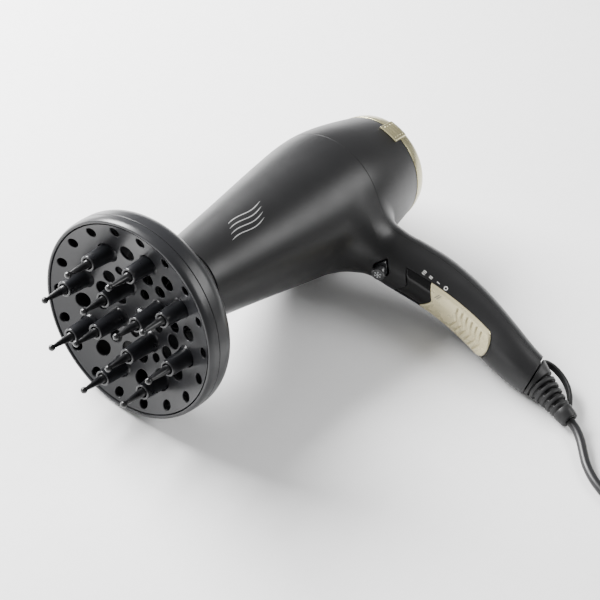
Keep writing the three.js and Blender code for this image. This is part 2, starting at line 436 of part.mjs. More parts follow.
// hanging loop, a rubber strap on the back of the relief
const LP = [[17.4, -180.4], [20.0, -182.6], [21.3, -188], [19.8, -196], [16.0, -203], [11.0, -208.2], [6.2, -211.8], [2.2, -214.2]];
const strap = [];
for (let i = 0; i <= 24; i++) {
  const u = (i / 24) * (LP.length - 1), rows = LP.map((p, k) => [k, ...p]);
  const [x, z] = table(rows, u), [x2, z2] = table(rows, Math.min(LP.length - 1, u + 0.05)), [x1, z1] = table(rows, Math.max(0, u - 0.05));
  const L = Math.hypot(x2 - x1, z2 - z1), nx = (z2 - z1) / L, nz = -(x2 - x1) / L, h = 1.15, w = 2.3;
  strap.push([[x + nx * h, -w, z + nz * h], [x + nx * h, w, z + nz * h], [x - nx * h, w, z - nz * h], [x - nx * h, -w, z - nz * h]]);
}
let loop = loft(strap);
put("hang_loop", loop, "#1d1e20", 0.5);
// clamp that holds the cord inside the grip end
put("cord_clamp", box(-3.6, 8.6, -8.0, 8.0, -177.2, -171.6).subtract(rod([2.9, 0, -160], [2.9, 0, -190], 3.3, 14)), BLACK, 0.5);
// mains leads from the cord to the switch and on to the heater
put("lead_live", wire([[1.4, 1.5, -170.4], [-1.6, 6.0, -159], [-1.0, 8.0, -148], [3.0, 7.6, -138], [5.2, 5.2, -130.6]], 0.9, 6), "#6d3a24", 0.5);
put("lead_neutral", wire([[3.6, -1.5, -170.4], [-1.4, -6.0, -159], [-1.0, -8.0, -148], [3.0, -7.6, -138], [5.2, -5.2, -130.6]], 0.9, 6), "#2a4a86", 0.5);
put("heater_lead", wire([[8.0, 4.4, -91.4], [7, 7.5, -80], [1, 9.8, -68], [-6, 9.6, -52], [-16, 9.4, -40.4], [-28, 8.6, -38], [-38, 6.4, -33], [-46, 3.2, -27.6]], 0.9, 6), "#7c2622", 0.5);

// ---------------------------------------------------------------- lay it on its side
// resting plane touches the diffuser rim, the rear tab and the end of the grip
const EZ = [-0.1009772101837756, -0.9768435117778269, 0.1886275603432967];
const EX = [0.9948887390173343, -0.0991456921131444, 0.01914493958997964];
const EY = [0, 0.18959663824279166, 0.9818620650412316];
const OFF = [81.6276437459093, 76.12956632218581, 47.24811893647814];
const dot = (a, b) => a[0] * b[0] + a[1] * b[1] + a[2] * b[2];
const toRow = (p) => [dot(EX, p) + OFF[0], dot(EY, p) + OFF[1], dot(EZ, p) + OFF[2]];
const m = new THREE.Matrix4().set(...EX, OFF[0], ...EY, OFF[1], ...EZ, OFF[2], 0, 0, 0, 1);

// ---------------------------------------------------------------- mains cord, on the table
const CR = 3.0, FL = 3.08, TOP = 9.3, CO = [91, -217], PITCH = 6.3;
const reliefAt = (s) => toRow([2.5 - 0.24 * s, 0, -183.2 - 0.966 * s]);
const mix = (p0, m0, p1, m1, n) => Array.from({ length: n + 1 }, (_, i) => {
  const t = i / n, t2 = t * t, t3 = t2 * t;
  return [0, 1, 2].map((k) => (2 * t3 - 3 * t2 + 1) * p0[k] + (t3 - 2 * t2 + t) * m0[k] + (3 * t2 - 2 * t3) * p1[k] + (t3 - t2) * m1[k]);
});
const firstRun = [reliefAt(36), reliefAt(39), [67.6, -147.9, 5.2], [63.0, -154.3, 4.0], [56.6, -160.6, 3.25], [50.0, -167.0, FL], [44.0, -174.8, FL], [39.4, -183.6, FL], [36.3, -193.2, FL]];
// turns: 3.5 inward on the table, a short climb, then outward on top of the first layer
const A0 = 202, R0 = 46.4, DOWN = 3.5, CLIMB = 0.3, UP = 3.5137;
const turnAt = (t) => {
  let r = R0 - PITCH * t, z = FL;
  if (t >= DOWN + CLIMB) { r = R0 - PITCH * DOWN + PITCH * (t - DOWN - CLIMB); z = TOP; }
  else if (t >= DOWN) { const u = (t - DOWN) / CLIMB; r = R0 - PITCH * DOWN; z = FL + (TOP - FL) * u * u * (3 - 2 * u); }
  const a = (A0 * Math.PI) / 180 + 2 * Math.PI * t;
  return [[CO[0] + r * Math.cos(a), CO[1] + r * Math.sin(a), z], a, r];
};
const [k0, a0] = turnAt(0), [k1, a1, r1] = turnAt(DOWN + CLIMB + UP);
const appLen = Math.hypot(k0[0] - 36.3, k0[1] + 193.2);
const approach = mix(firstRun[8], [-0.25 * appLen, -0.968 * appLen, 0], k0, [-Math.sin(a0) * appLen, Math.cos(a0) * appLen, 0], 4);
const head = [-Math.sin(a1), Math.cos(a1), 0];
const entry = [k1[0] + head[0] * 38 + Math.cos(a1) * 5, k1[1] + head[1] * 38 + Math.sin(a1) * 5, 8.1];
const tail = mix(k1, head.map((v) => v * 38), entry, head.map((v) => v * 38), 4);
const away = (p) => Math.hypot(p[0] - CO[0], p[1] - CO[1]);
function cordTube(points, steps) {
  const path = new THREE.CatmullRomCurve3(points.map((p) => new THREE.Vector3(...p)), false, "catmullrom", 0.5);
  const o = Array.from({ length: 10 }, (_, i) => new THREE.Vector2(...polar(CR, 36 * i + 18)));
  return new THREE.ExtrudeGeometry(new THREE.Shape(o), { steps, extrudePath: path });
}
// the tubes stop beside the coil's own solid
const fine = mix(approach[0], [-0.25 * appLen, -0.968 * appLen, 0], k0, [-Math.sin(a0) * appLen, Math.cos(a0) * appLen, 0], 40).filter((p) => away(p) > 53.6);
const fineTail = mix(k1, head.map((v) => v * 38), entry, head.map((v) => v * 38), 40).filter((p) => away(p) > 53.6);
const cordGeo = cordTube([...firstRun, ...[0.5, 1].map((t) => fine[Math.round(t * (fine.length - 1))])], 12);
const tailGeo = cordTube([0, 0.34, 0.67, 1].map((t) => fineTail[Math.round(t * (fineTail.length - 1))]), 3);
const ri = 20.9, ro = 49.9, zt = TOP + 3.05;
const coilGeo = new THREE.LatheGeometry([[ri, 2.6], [ri + 2.4, 0.05], [ro - 2.4, 0.05], [ro, 2.6], [ro, zt - 2.6], [ro - 2.4, zt], [ri + 2.4, zt], [ri, zt - 2.6], [ri, 2.6]].map((p) => new THREE.Vector2(...p)), 28);
coilGeo.rotateX(Math.PI / 2).translate(CO[0], CO[1], 0);
// moulded two-pin plug, lying beside the coil
const side = [-head[1], head[0], 0];
const atPlug = (s, v, z) => [entry[0] + head[0] * s + side[0] * v, entry[1] + head[1] * s + side[1] * v, entry[2] + z];
const oval = (s, a, b, n = 16) => Array.from({ length: n }, (_, i) => { const t = (2 * Math.PI * i) / n, e = 0.8; return atPlug(s, a * Math.sign(Math.cos(t)) * Math.abs(Math.cos(t)) ** e, b * Math.sign(Math.sin(t)) * Math.abs(Math.sin(t)) ** e); });
let plug = loft([oval(-3, 4.6, 4.6), oval(14, 6.0, 5.6), oval(17, 11.5, 7.0), oval(22, 17.0, 8.0), oval(38, 17.0, 8.0), oval(40, 16.2, 7.3)]).subtract(rod(atPlug(-5, 0, 0), atPlug(2, 0, 0), 3.4, 10));
const pins = [-9.5, 9.5].map((v) => turned(atPlug(38.0, v, 0), head, [[0, 2.3], [18.6, 2.3], [20.6, 1.3]], 10));
for (const v of [-9.5, 9.5]) plug = plug.subtract(rod(atPlug(37.6, v, 0), atPlug(42, v, 0), 2.7, 8));

const root = new THREE.Group();
root.name = "hair_dryer";
const lying = new THREE.Group();
lying.applyMatrix4(m);
root.add(lying);
const addMesh = (parent, name, g, color, roughness, metalness = 0) => {
  const node = new THREE.Mesh(g, new THREE.MeshStandardMaterial({ color, roughness, metalness }));
  node.name = name;
  parent.add(node);
};
const geometryOf = (body) => {
  const mesh = body.getMesh();
  const g = new THREE.BufferGeometry();
  const src = mesh.vertProperties, np = mesh.numProp, pos = new Float32Array((src.length / np) * 3);
  for (let i = 0; i < src.length / np; i++) { pos[3 * i] = src[np * i]; pos[3 * i + 1] = src[np * i + 1]; pos[3 * i + 2] = src[np * i + 2]; }
  g.setAttribute("position", new THREE.BufferAttribute(pos, 3));
  g.setIndex(new THREE.BufferAttribute(new Uint32Array(mesh.triVerts), 1));
  g.computeVertexNormals();
  return g;
};
for (const { name, body, color, roughness, metalness } of NODES) addMesh(lying, name, geometryOf(body), color, roughness, metalness);
addMesh(root, "cord", cordGeo, "#26272a", 0.55);
addMesh(root, "cord_coil", coilGeo, "#26272a", 0.55);
addMesh(root, "cord_tail", tailGeo, "#26272a", 0.55);
addMesh(root, "plug_body", geometryOf(plug), "#1d1e20", 0.5);
pins.forEach((b, i) => addMesh(root, i ? "plug_pin_right" : "plug_pin_left", geometryOf(b), BRASS, 0.3, 1));
root.updateMatrixWorld(true);
export default root;
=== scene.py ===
"""Looks of a hand-held hair dryer with a pronged diffuser, lying on its side on a table."""
import math
import bpy, bmesh
import numpy as np
from mathutils import Vector, Matrix
from mathutils.geometry import delaunay_2d_cdt


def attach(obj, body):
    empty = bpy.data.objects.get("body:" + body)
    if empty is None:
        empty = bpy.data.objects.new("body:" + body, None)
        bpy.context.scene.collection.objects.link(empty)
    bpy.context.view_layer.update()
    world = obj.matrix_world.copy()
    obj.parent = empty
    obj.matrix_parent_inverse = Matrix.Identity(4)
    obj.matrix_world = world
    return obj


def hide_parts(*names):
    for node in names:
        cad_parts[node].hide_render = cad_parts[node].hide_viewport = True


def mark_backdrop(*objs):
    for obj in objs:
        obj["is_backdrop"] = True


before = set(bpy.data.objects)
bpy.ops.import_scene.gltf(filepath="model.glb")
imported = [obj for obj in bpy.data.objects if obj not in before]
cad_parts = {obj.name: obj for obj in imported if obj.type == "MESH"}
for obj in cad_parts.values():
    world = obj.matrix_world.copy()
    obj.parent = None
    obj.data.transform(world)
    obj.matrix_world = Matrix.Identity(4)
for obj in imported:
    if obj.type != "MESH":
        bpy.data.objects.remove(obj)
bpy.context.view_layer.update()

# ------------------------------------------------------------------ frames
# local frame: barrel axis X (outlet at -X), grip toward -Z, millimetres
M = np.array([[0.9948887390173343, -0.0991456921131444, 0.01914493958997964],
              [0.0, 0.18959663824279166, 0.9818620650412316],
              [-0.1009772101837756, -0.9768435117778269, 0.1886275603432967]])
OFF = np.array([81.6276437459093, 76.12956632218581, 47.24811893647814])
def row(P):
    return (np.asarray(P, float).reshape(-1, 3) @ M.T + OFF) / 1000.0
def rowdir(v):
    return np.asarray(v, float) @ M.T

# ------------------------------------------------------------------ camera first
cam_data = bpy.data.cameras.new("camera")
cam_data.lens, cam_data.sensor_width = 119.2, 36.0
cam_data.clip_start, cam_data.clip_end = 0.05, 30
cam = bpy.data.objects.new("camera", cam_data)
bpy.context.scene.collection.objects.link(cam)
cR = np.array([0.622824556053453, -0.7722142671219777, 0.1255973221875427])
cU = np.array([0.4802487416383223, 0.5040905969922882, 0.7178118196303482])
cB = np.array([-0.6176169599292725, -0.38675287949670956, 0.6848149341261691])
cC = np.array([-0.7789142209900017, -0.4576476337962798, 0.9040851883826674])
cam.matrix_world = Matrix([[cR[i], cU[i], cB[i], cC[i]] for i in range(3)] + [[0, 0, 0, 1]])
bpy.context.scene.camera = cam

# ------------------------------------------------------------------ materials
def material(name, color, rough=0.5, metal=0.0, coat=0.0, coat_rough=0.1, spec=0.5, grain=(2.5, 0.25), mottle=(0.08, 0.06), tint=0.06, sheen=0.0, aniso=0.0, extra=None):
    """grain = (bumps per mm, depth), mottle = (patches per mm, roughness swing)"""
    mt = bpy.data.materials.new(name)
    mt.use_nodes = True
    nt = mt.node_tree
    for n in list(nt.nodes):
        nt.nodes.remove(n)
    N, L = nt.nodes.new, nt.links.new
    out = N("ShaderNodeOutputMaterial"); b = N("ShaderNodeBsdfPrincipled")
    L(b.outputs[0], out.inputs[0])
    tc = N("ShaderNodeTexCoord"); mp = N("ShaderNodeMapping")
    mp.inputs["Scale"].default_value = (1000, 1000, 1000)
    L(tc.outputs["Object"], mp.inputs["Vector"])
    n1 = N("ShaderNodeTexNoise"); n1.inputs["Scale"].default_value = grain[0]; n1.inputs["Detail"].default_value = 3
    n2 = N("ShaderNodeTexNoise"); n2.inputs["Scale"].default_value = mottle[0]; n2.inputs["Detail"].default_value = 6; n2.inputs["Roughness"].default_value = 0.65
    L(mp.outputs[0], n1.inputs["Vector"]); L(mp.outputs[0], n2.inputs["Vector"])
    r = N("ShaderNodeMapRange")
    r.inputs["From Min"].default_value, r.inputs["From Max"].default_value = 0.3, 0.7
    r.inputs["To Min"].default_value, r.inputs["To Max"].default_value = max(0.02, rough - mottle[1]), rough + mottle[1]
    L(n2.outputs["Fac"], r.inputs["Value"]); L(r.outputs[0], b.inputs["Roughness"])
    c = N("ShaderNodeValToRGB")
    lo = tuple(max(0.0, v * (1 - tint)) for v in color) + (1,)
    hi = tuple(min(1.0, v * (1 + tint)) for v in color) + (1,)
    c.color_ramp.elements[0].color, c.color_ramp.elements[1].color = lo, hi
    c.color_ramp.elements[0].position, c.color_ramp.elements[1].position = 0.3, 0.7
    n3 = N("ShaderNodeTexNoise"); n3.inputs["Scale"].default_value = grain[0] * 0.35; n3.inputs["Detail"].default_value = 4
    L(mp.outputs[0], n3.inputs["Vector"]); L(n3.outputs["Fac"], c.inputs["Fac"])
    L(c.outputs["Color"], b.inputs["Base Color"])
    bp = N("ShaderNodeBump"); bp.inputs["Strength"].default_value = grain[1]; bp.inputs["Distance"].default_value = 0.00006
    L(n1.outputs["Fac"], bp.inputs["Height"]); L(bp.outputs[0], b.inputs["Normal"])
    b.inputs["Metallic"].default_value = metal
    b.inputs["Coat Weight"].default_value = coat
    b.inputs["Coat Roughness"].default_value = coat_rough
    b.inputs["Specular IOR Level"].default_value = spec
    b.inputs["Sheen Weight"].default_value = sheen
    b.inputs["Anisotropic"].default_value = aniso
    if extra:
        extra(nt, b, mp, bp, c)
    return mt

SHELL = material("shell_soft_touch", (0.0085, 0.0085, 0.0090), 0.38, 0.0, spec=0.36, grain=(3.2, 0.18), mottle=(0.05, 0.03))
DIFF = material("diffuser_charcoal", (0.0125, 0.0128, 0.0145), 0.33, 0.0, spec=0.38, grain=(2.0, 0.16), mottle=(0.06, 0.05), coat=0.05, coat_rough=0.2)
PIN = material("pin_gloss", (0.0055, 0.0055, 0.0062), 0.30, 0.0, spec=0.4, coat=0.22, coat_rough=0.16, grain=(2.0, 0.08), mottle=(0.2, 0.04))
FINGER = material("finger_satin", (0.0085, 0.0088, 0.0105), 0.30, 0.0, spec=0.4, coat=0.15, coat_rough=0.18, grain=(2.0, 0.10), mottle=(0.1, 0.04))
GOLD = material("champagne_trim", (0.43, 0.395, 0.235), 0.27, 0.8, spec=0.5, coat=0.15, coat_rough=0.2, grain=(5.0, 0.12), mottle=(0.12, 0.05), tint=0.05)
CREAM = material("slider_pearl", (0.62, 0.555, 0.345), 0.27, 0.35, spec=0.5, coat=0.3, coat_rough=0.15, grain=(6.0, 0.08), mottle=(0.1, 0.05), tint=0.04)
GLOSS = material("track_gloss", (0.0030, 0.0030, 0.0034), 0.16, 0.0, spec=0.25, coat=0.15, coat_rough=0.10, grain=(1.5, 0.05), mottle=(0.15, 0.05))
BUTTON = material("button_satin", (0.018, 0.0185, 0.020), 0.24, 0.0, coat=0.4, coat_rough=0.12, grain=(3.0, 0.12), mottle=(0.2, 0.05))
INNER = material("inner_black", (0.0075, 0.0075, 0.0080), 0.46, 0.0, spec=0.3, grain=(1.6, 0.35), mottle=(0.1, 0.08))
RUBBER = material("soft_rubber", (0.0090, 0.0090, 0.0095), 0.46, 0.0, spec=0.35, grain=(2.2, 0.35), mottle=(0.15, 0.07))
CORD = material("cord_pvc", (0.012, 0.012, 0.013), 0.38, 0.0, spec=0.35, grain=(1.4, 0.25), mottle=(0.12, 0.06))
PLUG = material("plug_pvc", (0.010, 0.010, 0.011), 0.42, 0.0, grain=(2.0, 0.4), mottle=(0.12, 0.07))
STEEL = material("steel_brushed", (0.56, 0.57, 0.58), 0.30, 1.0, aniso=0.4, grain=(4.0, 0.25), mottle=(0.5, 0.09))
BRASS = material("brass_bright", (0.72, 0.50, 0.22), 0.25, 1.0, grain=(3.0, 0.15), mottle=(0.3, 0.08))
MICA = material("mica_sheet", (0.55, 0.48, 0.33), 0.55, 0.0, grain=(0.9, 0.7), mottle=(0.3, 0.15), tint=0.25)
WIRE = material("heating_wire", (0.32, 0.20, 0.13), 0.42, 1.0, grain=(3.0, 0.3), mottle=(0.4, 0.12), tint=0.25)
FAN = material("fan_red", (0.42, 0.05, 0.04), 0.40, 0.0, grain=(1.6, 0.25), mottle=(0.12, 0.08))
BOARD = material("board_green", (0.03, 0.16, 0.06), 0.35, 0.0, coat=0.4, grain=(1.2, 0.4), mottle=(0.4, 0.1), tint=0.2)
FILM = material("capacitor_film", (0.62, 0.36, 0.06), 0.3, 0.0, coat=0.4, grain=(1.5, 0.3), mottle=(0.2, 0.08))
LEAD1 = material("lead_brown", (0.16, 0.06, 0.03), 0.45, grain=(2.0, 0.2))
LEAD2 = material("lead_blue", (0.02, 0.07, 0.30), 0.45, grain=(2.0, 0.2))
LEAD3 = material("lead_red", (0.30, 0.02, 0.02), 0.45, grain=(2.0, 0.2))
PRINT = material("print_white", (0.80, 0.80, 0.78), 0.5, grain=(4.0, 0.3), mottle=(0.5, 0.05), tint=0.06)
PRINT_GREY = material("print_grey", (0.42, 0.43, 0.44), 0.45, grain=(4.0, 0.3), mottle=(0.5, 0.05), tint=0.1)
PRINT_FAINT = material("print_silver", (0.46, 0.46, 0.46), 0.38, 0.6, grain=(4.0, 0.3), mottle=(0.5, 0.05), tint=0.1)
DARKGAP = material("gap_dark", (0.008, 0.008, 0.009), 0.6, grain=(2.0, 0.3))

CAD_MATS = {"motor": STEEL, "motor_shaft": STEEL, "casing_screw_upper": STEEL, "casing_screw_lower": STEEL, "button_spring": STEEL, "thermal_fuse": STEEL, "thermal_cutout": BRASS,
            "heat_shield": MICA, "heater_cross": MICA, "heater_coil": WIRE, "fan": FAN, "speed_switch": INNER, "micro_switch": INNER, "slider_carrier": INNER, "cord_clamp": INNER,
            "motor_mount_duct": INNER, "circuit_board": BOARD, "capacitor": FILM, "lead_live": LEAD1, "lead_neutral": LEAD2, "heater_lead": LEAD3}
for name, mt in CAD_MATS.items():
    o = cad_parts[name]
    o.data.materials.clear(); o.data.materials.append(mt)

# ------------------------------------------------------------------ mesh helpers
def add(name, V, F, mt, body, nodes=(), slot=None, sharp=35, local=True, loops=None):
    me = bpy.data.meshes.new(name)
    P = row(V) if local else np.asarray(V, float)
    me.from_pydata(P.tolist(), [], [list(map(int, f)) for f in F])
    me.validate()
    me.materials.append(mt)
    me.polygons.foreach_set("use_smooth", [True] * len(me.polygons))
    if loops is not None:
        me.normals_split_custom_set(loops)
    elif sharp:
        me.set_sharp_from_angle(angle=math.radians(sharp))
    me.update()
    o = bpy.data.objects.new(name, me)
    bpy.context.scene.collection.objects.link(o)
    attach(o, body)
    if nodes:
        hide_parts(*nodes)
    return o

class Bag:
    """collects several surfaces into one mesh"""
    def __init__(s):
        s.V, s.F, s.n = [], [], 0
    def put(s, V, F):
        V = np.asarray(V, float).reshape(-1, 3)
        s.V.append(V); s.F += [[i + s.n for i in f] for f in F]; s.n += len(V)
        return s
    def grid(s, G, cu=False, cv=False, flip=False):
        G = np.asarray(G, float); n, m = G.shape[:2]
        F = []
        for i in range(n if cu else n - 1):
            for j in range(m if cv else m - 1):
                a, b, c, d = i * m + j, ((i + 1) % n) * m + j, ((i + 1) % n) * m + (j + 1) % m, i * m + (j + 1) % m
                F.append([a, d, c, b] if flip else [a, b, c, d])
        return s.put(G.reshape(-1, 3), F)
    def done(s):
        return np.concatenate(s.V), s.F

def fillet(pts, r, k=5, closed=True):
    """rounds each corner of a 2D outline with about radius r (a number or one per corner)"""
    P = [np.array(p, float) for p in pts]; n = len(P); out = []
    for i in range(n):
        ri = r[i] if hasattr(r, "__len__") else r
        if (not closed and i in (0, n - 1)) or ri <= 0:
            out.append(P[i]); continue
        a, b, c = P[i - 1], P[i], P[(i + 1) % n]
        u, v = a - b, c - b; lu, lv = np.linalg.norm(u), np.linalg.norm(v)
        t = min(ri, 0.48 * lu, 0.48 * lv); p, q = b + u / lu * t, b + v / lv * t
        for j in range(k + 1):
            w = j / k; out.append((1 - w) ** 2 * p + 2 * w * (1 - w) * b + w * w * q)
    return out

def spin(profile, n=128, y0=0.0, z0=0.0, closed=True):
    """surface of revolution about a line parallel to X"""
    a = np.arange(n) * 2 * math.pi / n
    G = np.array([[[x, y0 + r * math.cos(t), z0 + r * math.sin(t)] for t in a] for x, r in profile])
    b = Bag(); b.grid(G, cu=closed, cv=True, flip=True)
    return b.done()

def sweep(path, section, ups=None, closed_section=True, caps=True):
    """section(i) -> list of (u, v); path points in mm; u along the path's binormal, v along its normal"""
    P = np.asarray(path, float); T = np.gradient(P, axis=0); T /= np.linalg.norm(T, axis=1)[:, None]
    up = np.array([0, 1, 0.0]) if ups is None else np.asarray(ups, float)
    G = []
    for i, (p, t) in enumerate(zip(P, T)):
        u = up - t * (up @ t); u /= np.linalg.norm(u); w = np.cross(t, u)
        G.append([p + u * a + w * b for a, b in section(i)])
    b = Bag(); b.grid(np.array(G), cv=closed_section)
    if caps:
        m = len(G[0]); V = np.concatenate(b.V)
        b.F.append(list(range(m))[::-1] if False else list(range(m - 1, -1, -1)))
        b.F.append([len(V) - m + i for i in range(m)])
    return b.done()

def cat(rows_, n=8, closed=False):
    """Catmull-Rom through points"""
    P = np.asarray(rows_, float); out = []
    for i in range(len(P) - 1):
        a, b, c, d = P[max(0, i - 1)], P[i], P[i + 1], P[min(len(P) - 1, i + 2)]
        for j in range(n):
            t = j / n
            out.append(0.5 * (2 * b + (c - a) * t + (2 * a - 5 * b + 4 * c - d) * t * t + (3 * b - a - 3 * c + d) * t ** 3))
    out.append(P[-1])
    return np.array(out)

def table(rows_, u):
    """same smooth interpolation as the CAD curves use, on an array"""
    R = np.asarray(rows_, float); n = len(R); u = np.clip(np.asarray(u, float), R[0, 0], R[-1, 0])
    i = np.clip(np.searchsorted(R[:, 0], u, side="left") - 1, 0, n - 2)
    p0, p1, p2, p3 = R[np.maximum(i - 1, 0)], R[i], R[i + 1], R[np.minimum(i + 2, n - 1)]
    h = (p2[..., :1] - p1[..., :1]); t = ((u[..., None]) - p1[..., :1]) / h
    m1 = (p2 - p0) / np.maximum(p2[..., :1] - p0[..., :1], 1e-9) * h
    m2 = (p3 - p1) / np.maximum(p3[..., :1] - p1[..., :1], 1e-9) * h
    v = (2 * t ** 3 - 3 * t ** 2 + 1) * p1 + (t ** 3 - 2 * t ** 2 + t) * m1 + (-2 * t ** 3 + 3 * t ** 2) * p2 + (t ** 3 - t ** 2) * m2
    return v[..., 1:]

# ------------------------------------------------------------------ housing surface
BARREL = [[-143, 27.4], [-130, 28.6], [-112, 31.1], [-94, 33.7], [-76, 36.4], [-57, 39.3], [-37, 42.3], [-15, 45.2], [-2, 46.1], [8, 45.9], [20, 44.7], [32, 42.8], [44, 40.5], [53.6, 38.4]]
GRIP = [[10, -22.0, 17.5, 21.0], [30, -21.5, 17.4, 20.8], [39, -21.0, 17.2, 20.4], [48, -19.8, 17.3, 19.4], [54, -18.2, 18.2, 18.6], [62, -16.7, 19.9, 18.1], [68, -15.5, 22.2, 18.2], [75, -13.95, 24.4, 18.2], [88, -10.55, 27.5, 18.1], [101, -8.04, 28.7, 17.6], [114, -6.78, 28.6, 16.9], [128, -6.78, 27.1, 16.2], [141, -8.04, 24.6, 15.6], [155, -10.5, 21.2, 15.1], [168, -11.6, 18.0, 14.2], [180, -11.2, 16.2, 13.1], [190, -10.4, 15.2, 12.4], [200, -9.8, 14.4, 11.8]]
SPLIT = [[40, 0], [46, 0.2], [52, 0.9], [60, 2.6], [75, 7.0], [90, 10.6], [105, 12.4], [120, 12.6], [135, 11.2], [150, 8.6], [165, 6.0], [181, 4.4], [205, 4.2]]
_bx = np.linspace(-150, 60, 841); _br = table(BARREL, _bx)[:, 0]
_br = np.where(_bx < -143, 27.4 + (_bx + 143) * 0.09, _br); _br = np.where(_bx > 53.6, 38.4 - (_bx - 53.6) * 0.22, _br)
_bd = np.gradient(_br, _bx)
_gz = np.linspace(10, 200, 761); _gv = table(GRIP, _gz)
def splitX(z):
    return table(SPLIT, -np.asarray(z, float))[..., 0]
PW = 2.15
def sdf(P):
    x, y, z = P[..., 0], P[..., 1], P[..., 2]
    R, dR = np.interp(x, _bx, _br), np.interp(x, _bx, _bd)
    dB = (np.sqrt(y * y + z * z) - R) / np.sqrt(1 + dR * dR)
    xf, xr, b = (np.interp(-z, _gz, _gv[:, k]) for k in range(3))
    a, xc = (xr - xf) / 2, (xr + xf) / 2
    u, v = np.abs(x - xc) / a, np.abs(y) / b
    f = np.maximum((u ** PW + v ** PW) ** (1 / PW), 0.05)
    g = np.sqrt((u ** (PW - 1) / f ** (PW - 1) / a) ** 2 + (v ** (PW - 1) / f ** (PW - 1) / b) ** 2)
    dG = np.maximum((f - 1) / np.maximum(g, 1e-3), z + 16)
    k = np.interp(x, [-14, 2, 16, 24], [KF, 13.0, 6.0, 4.0])
    h = np.clip(0.5 + 0.5 * (dB - dG) / k, 0, 1)
    return dB * (1 - h) + dG * h - k * h * (1 - h)
KF = 19.0
def grad(P):
    g = np.empty_like(P); e = 0.04
    for k in range(3):
        d = np.zeros(3); d[k] = e
        g[..., k] = (sdf(P + d) - sdf(P - d)) / (2 * e)
    return g / np.maximum(np.linalg.norm(g, axis=-1, keepdims=True), 1e-9)
def onto(P, lift=0.0, it=5):
    P = np.array(P, float)
    for _ in range(it):
        P = P - (sdf(P) - lift)[..., None] * grad(P)
    return P

def surface_nets(lo, hi, h):
    n = [int(math.ceil((hi[k] - lo[k]) / h)) + 1 for k in range(3)]
    ax = [lo[k] + h * np.arange(n[k]) for k in range(3)]
    val = np.empty(n)
    for i, xv in enumerate(ax[0]):
        Y, Z = np.meshgrid(ax[1], ax[2], indexing="ij")
        val[i] = sdf(np.stack([np.full_like(Y, xv), Y, Z], -1))
    s = val < 0
    cnt = sum(s[a:n[0] - 1 + a, b:n[1] - 1 + b, c:n[2] - 1 + c].astype(np.int8) for a in (0, 1) for b in (0, 1) for c in (0, 1))
    cell = np.argwhere((cnt > 0) & (cnt < 8)); idx = -np.ones([k - 1 for k in n], np.int64); idx[tuple(cell.T)] = np.arange(len(cell))
    acc, num = np.zeros((len(cell), 3)), np.zeros(len(cell))
    for k in range(3):
        o1, o2 = [q for q in range(3) if q != k]
        for a in (0, 1):
            for b in (0, 1):
                c0 = cell.copy(); c0[:, o1] += a; c0[:, o2] += b; c1 = c0.copy(); c1[:, k] += 1
                v0, v1 = val[tuple(c0.T)], val[tuple(c1.T)]; hit = (v0 < 0) != (v1 < 0)
                p = (c0 - cell).astype(float); p[:, k] += v0 / np.where(hit, v0 - v1, 1)
                acc[hit] += p[hit]; num[hit] += 1
    V = np.array(lo) + h * (cell + acc / num[:, None])
    F = []
    for k in range(3):
        o1, o2 = [q for q in range(3) if q != k]
        A = s; sl0 = [slice(None)] * 3; sl1 = [slice(None)] * 3; sl0[k] = slice(0, -1); sl1[k] = slice(1, None)
        e = A[tuple(sl0)] != A[tuple(sl1)]; first = A[tuple(sl0)]
        E = np.argwhere(e); E = E[(E[:, o1] > 0) & (E[:, o2] > 0) & (E[:, o1] < n[o1] - 1) & (E[:, o2] < n[o2] - 1)]
        q = []
        for a, b in ((1, 1), (0, 1), (0, 0), (1, 0)):
            c = E.copy(); c[:, o1] -= a; c[:, o2] -= b; q.append(idx[tuple(c.T)])
        q = np.stack(q, 1); ins = first[tuple(E.T)]
        if k == 1: ins = ~ins
        q[~ins] = q[~ins][:, ::-1]
        F.append(q[(q >= 0).all(1)])
    return V, np.concatenate(F)

HSTEP = 1.15
V0, F0 = surface_nets((-146, -48.6, -194), (57, 48.6, 48.6), HSTEP)
V0 = onto(V0)
print("housing surface", len(V0), len(F0), "worst", np.abs(sdf(V0)).max())

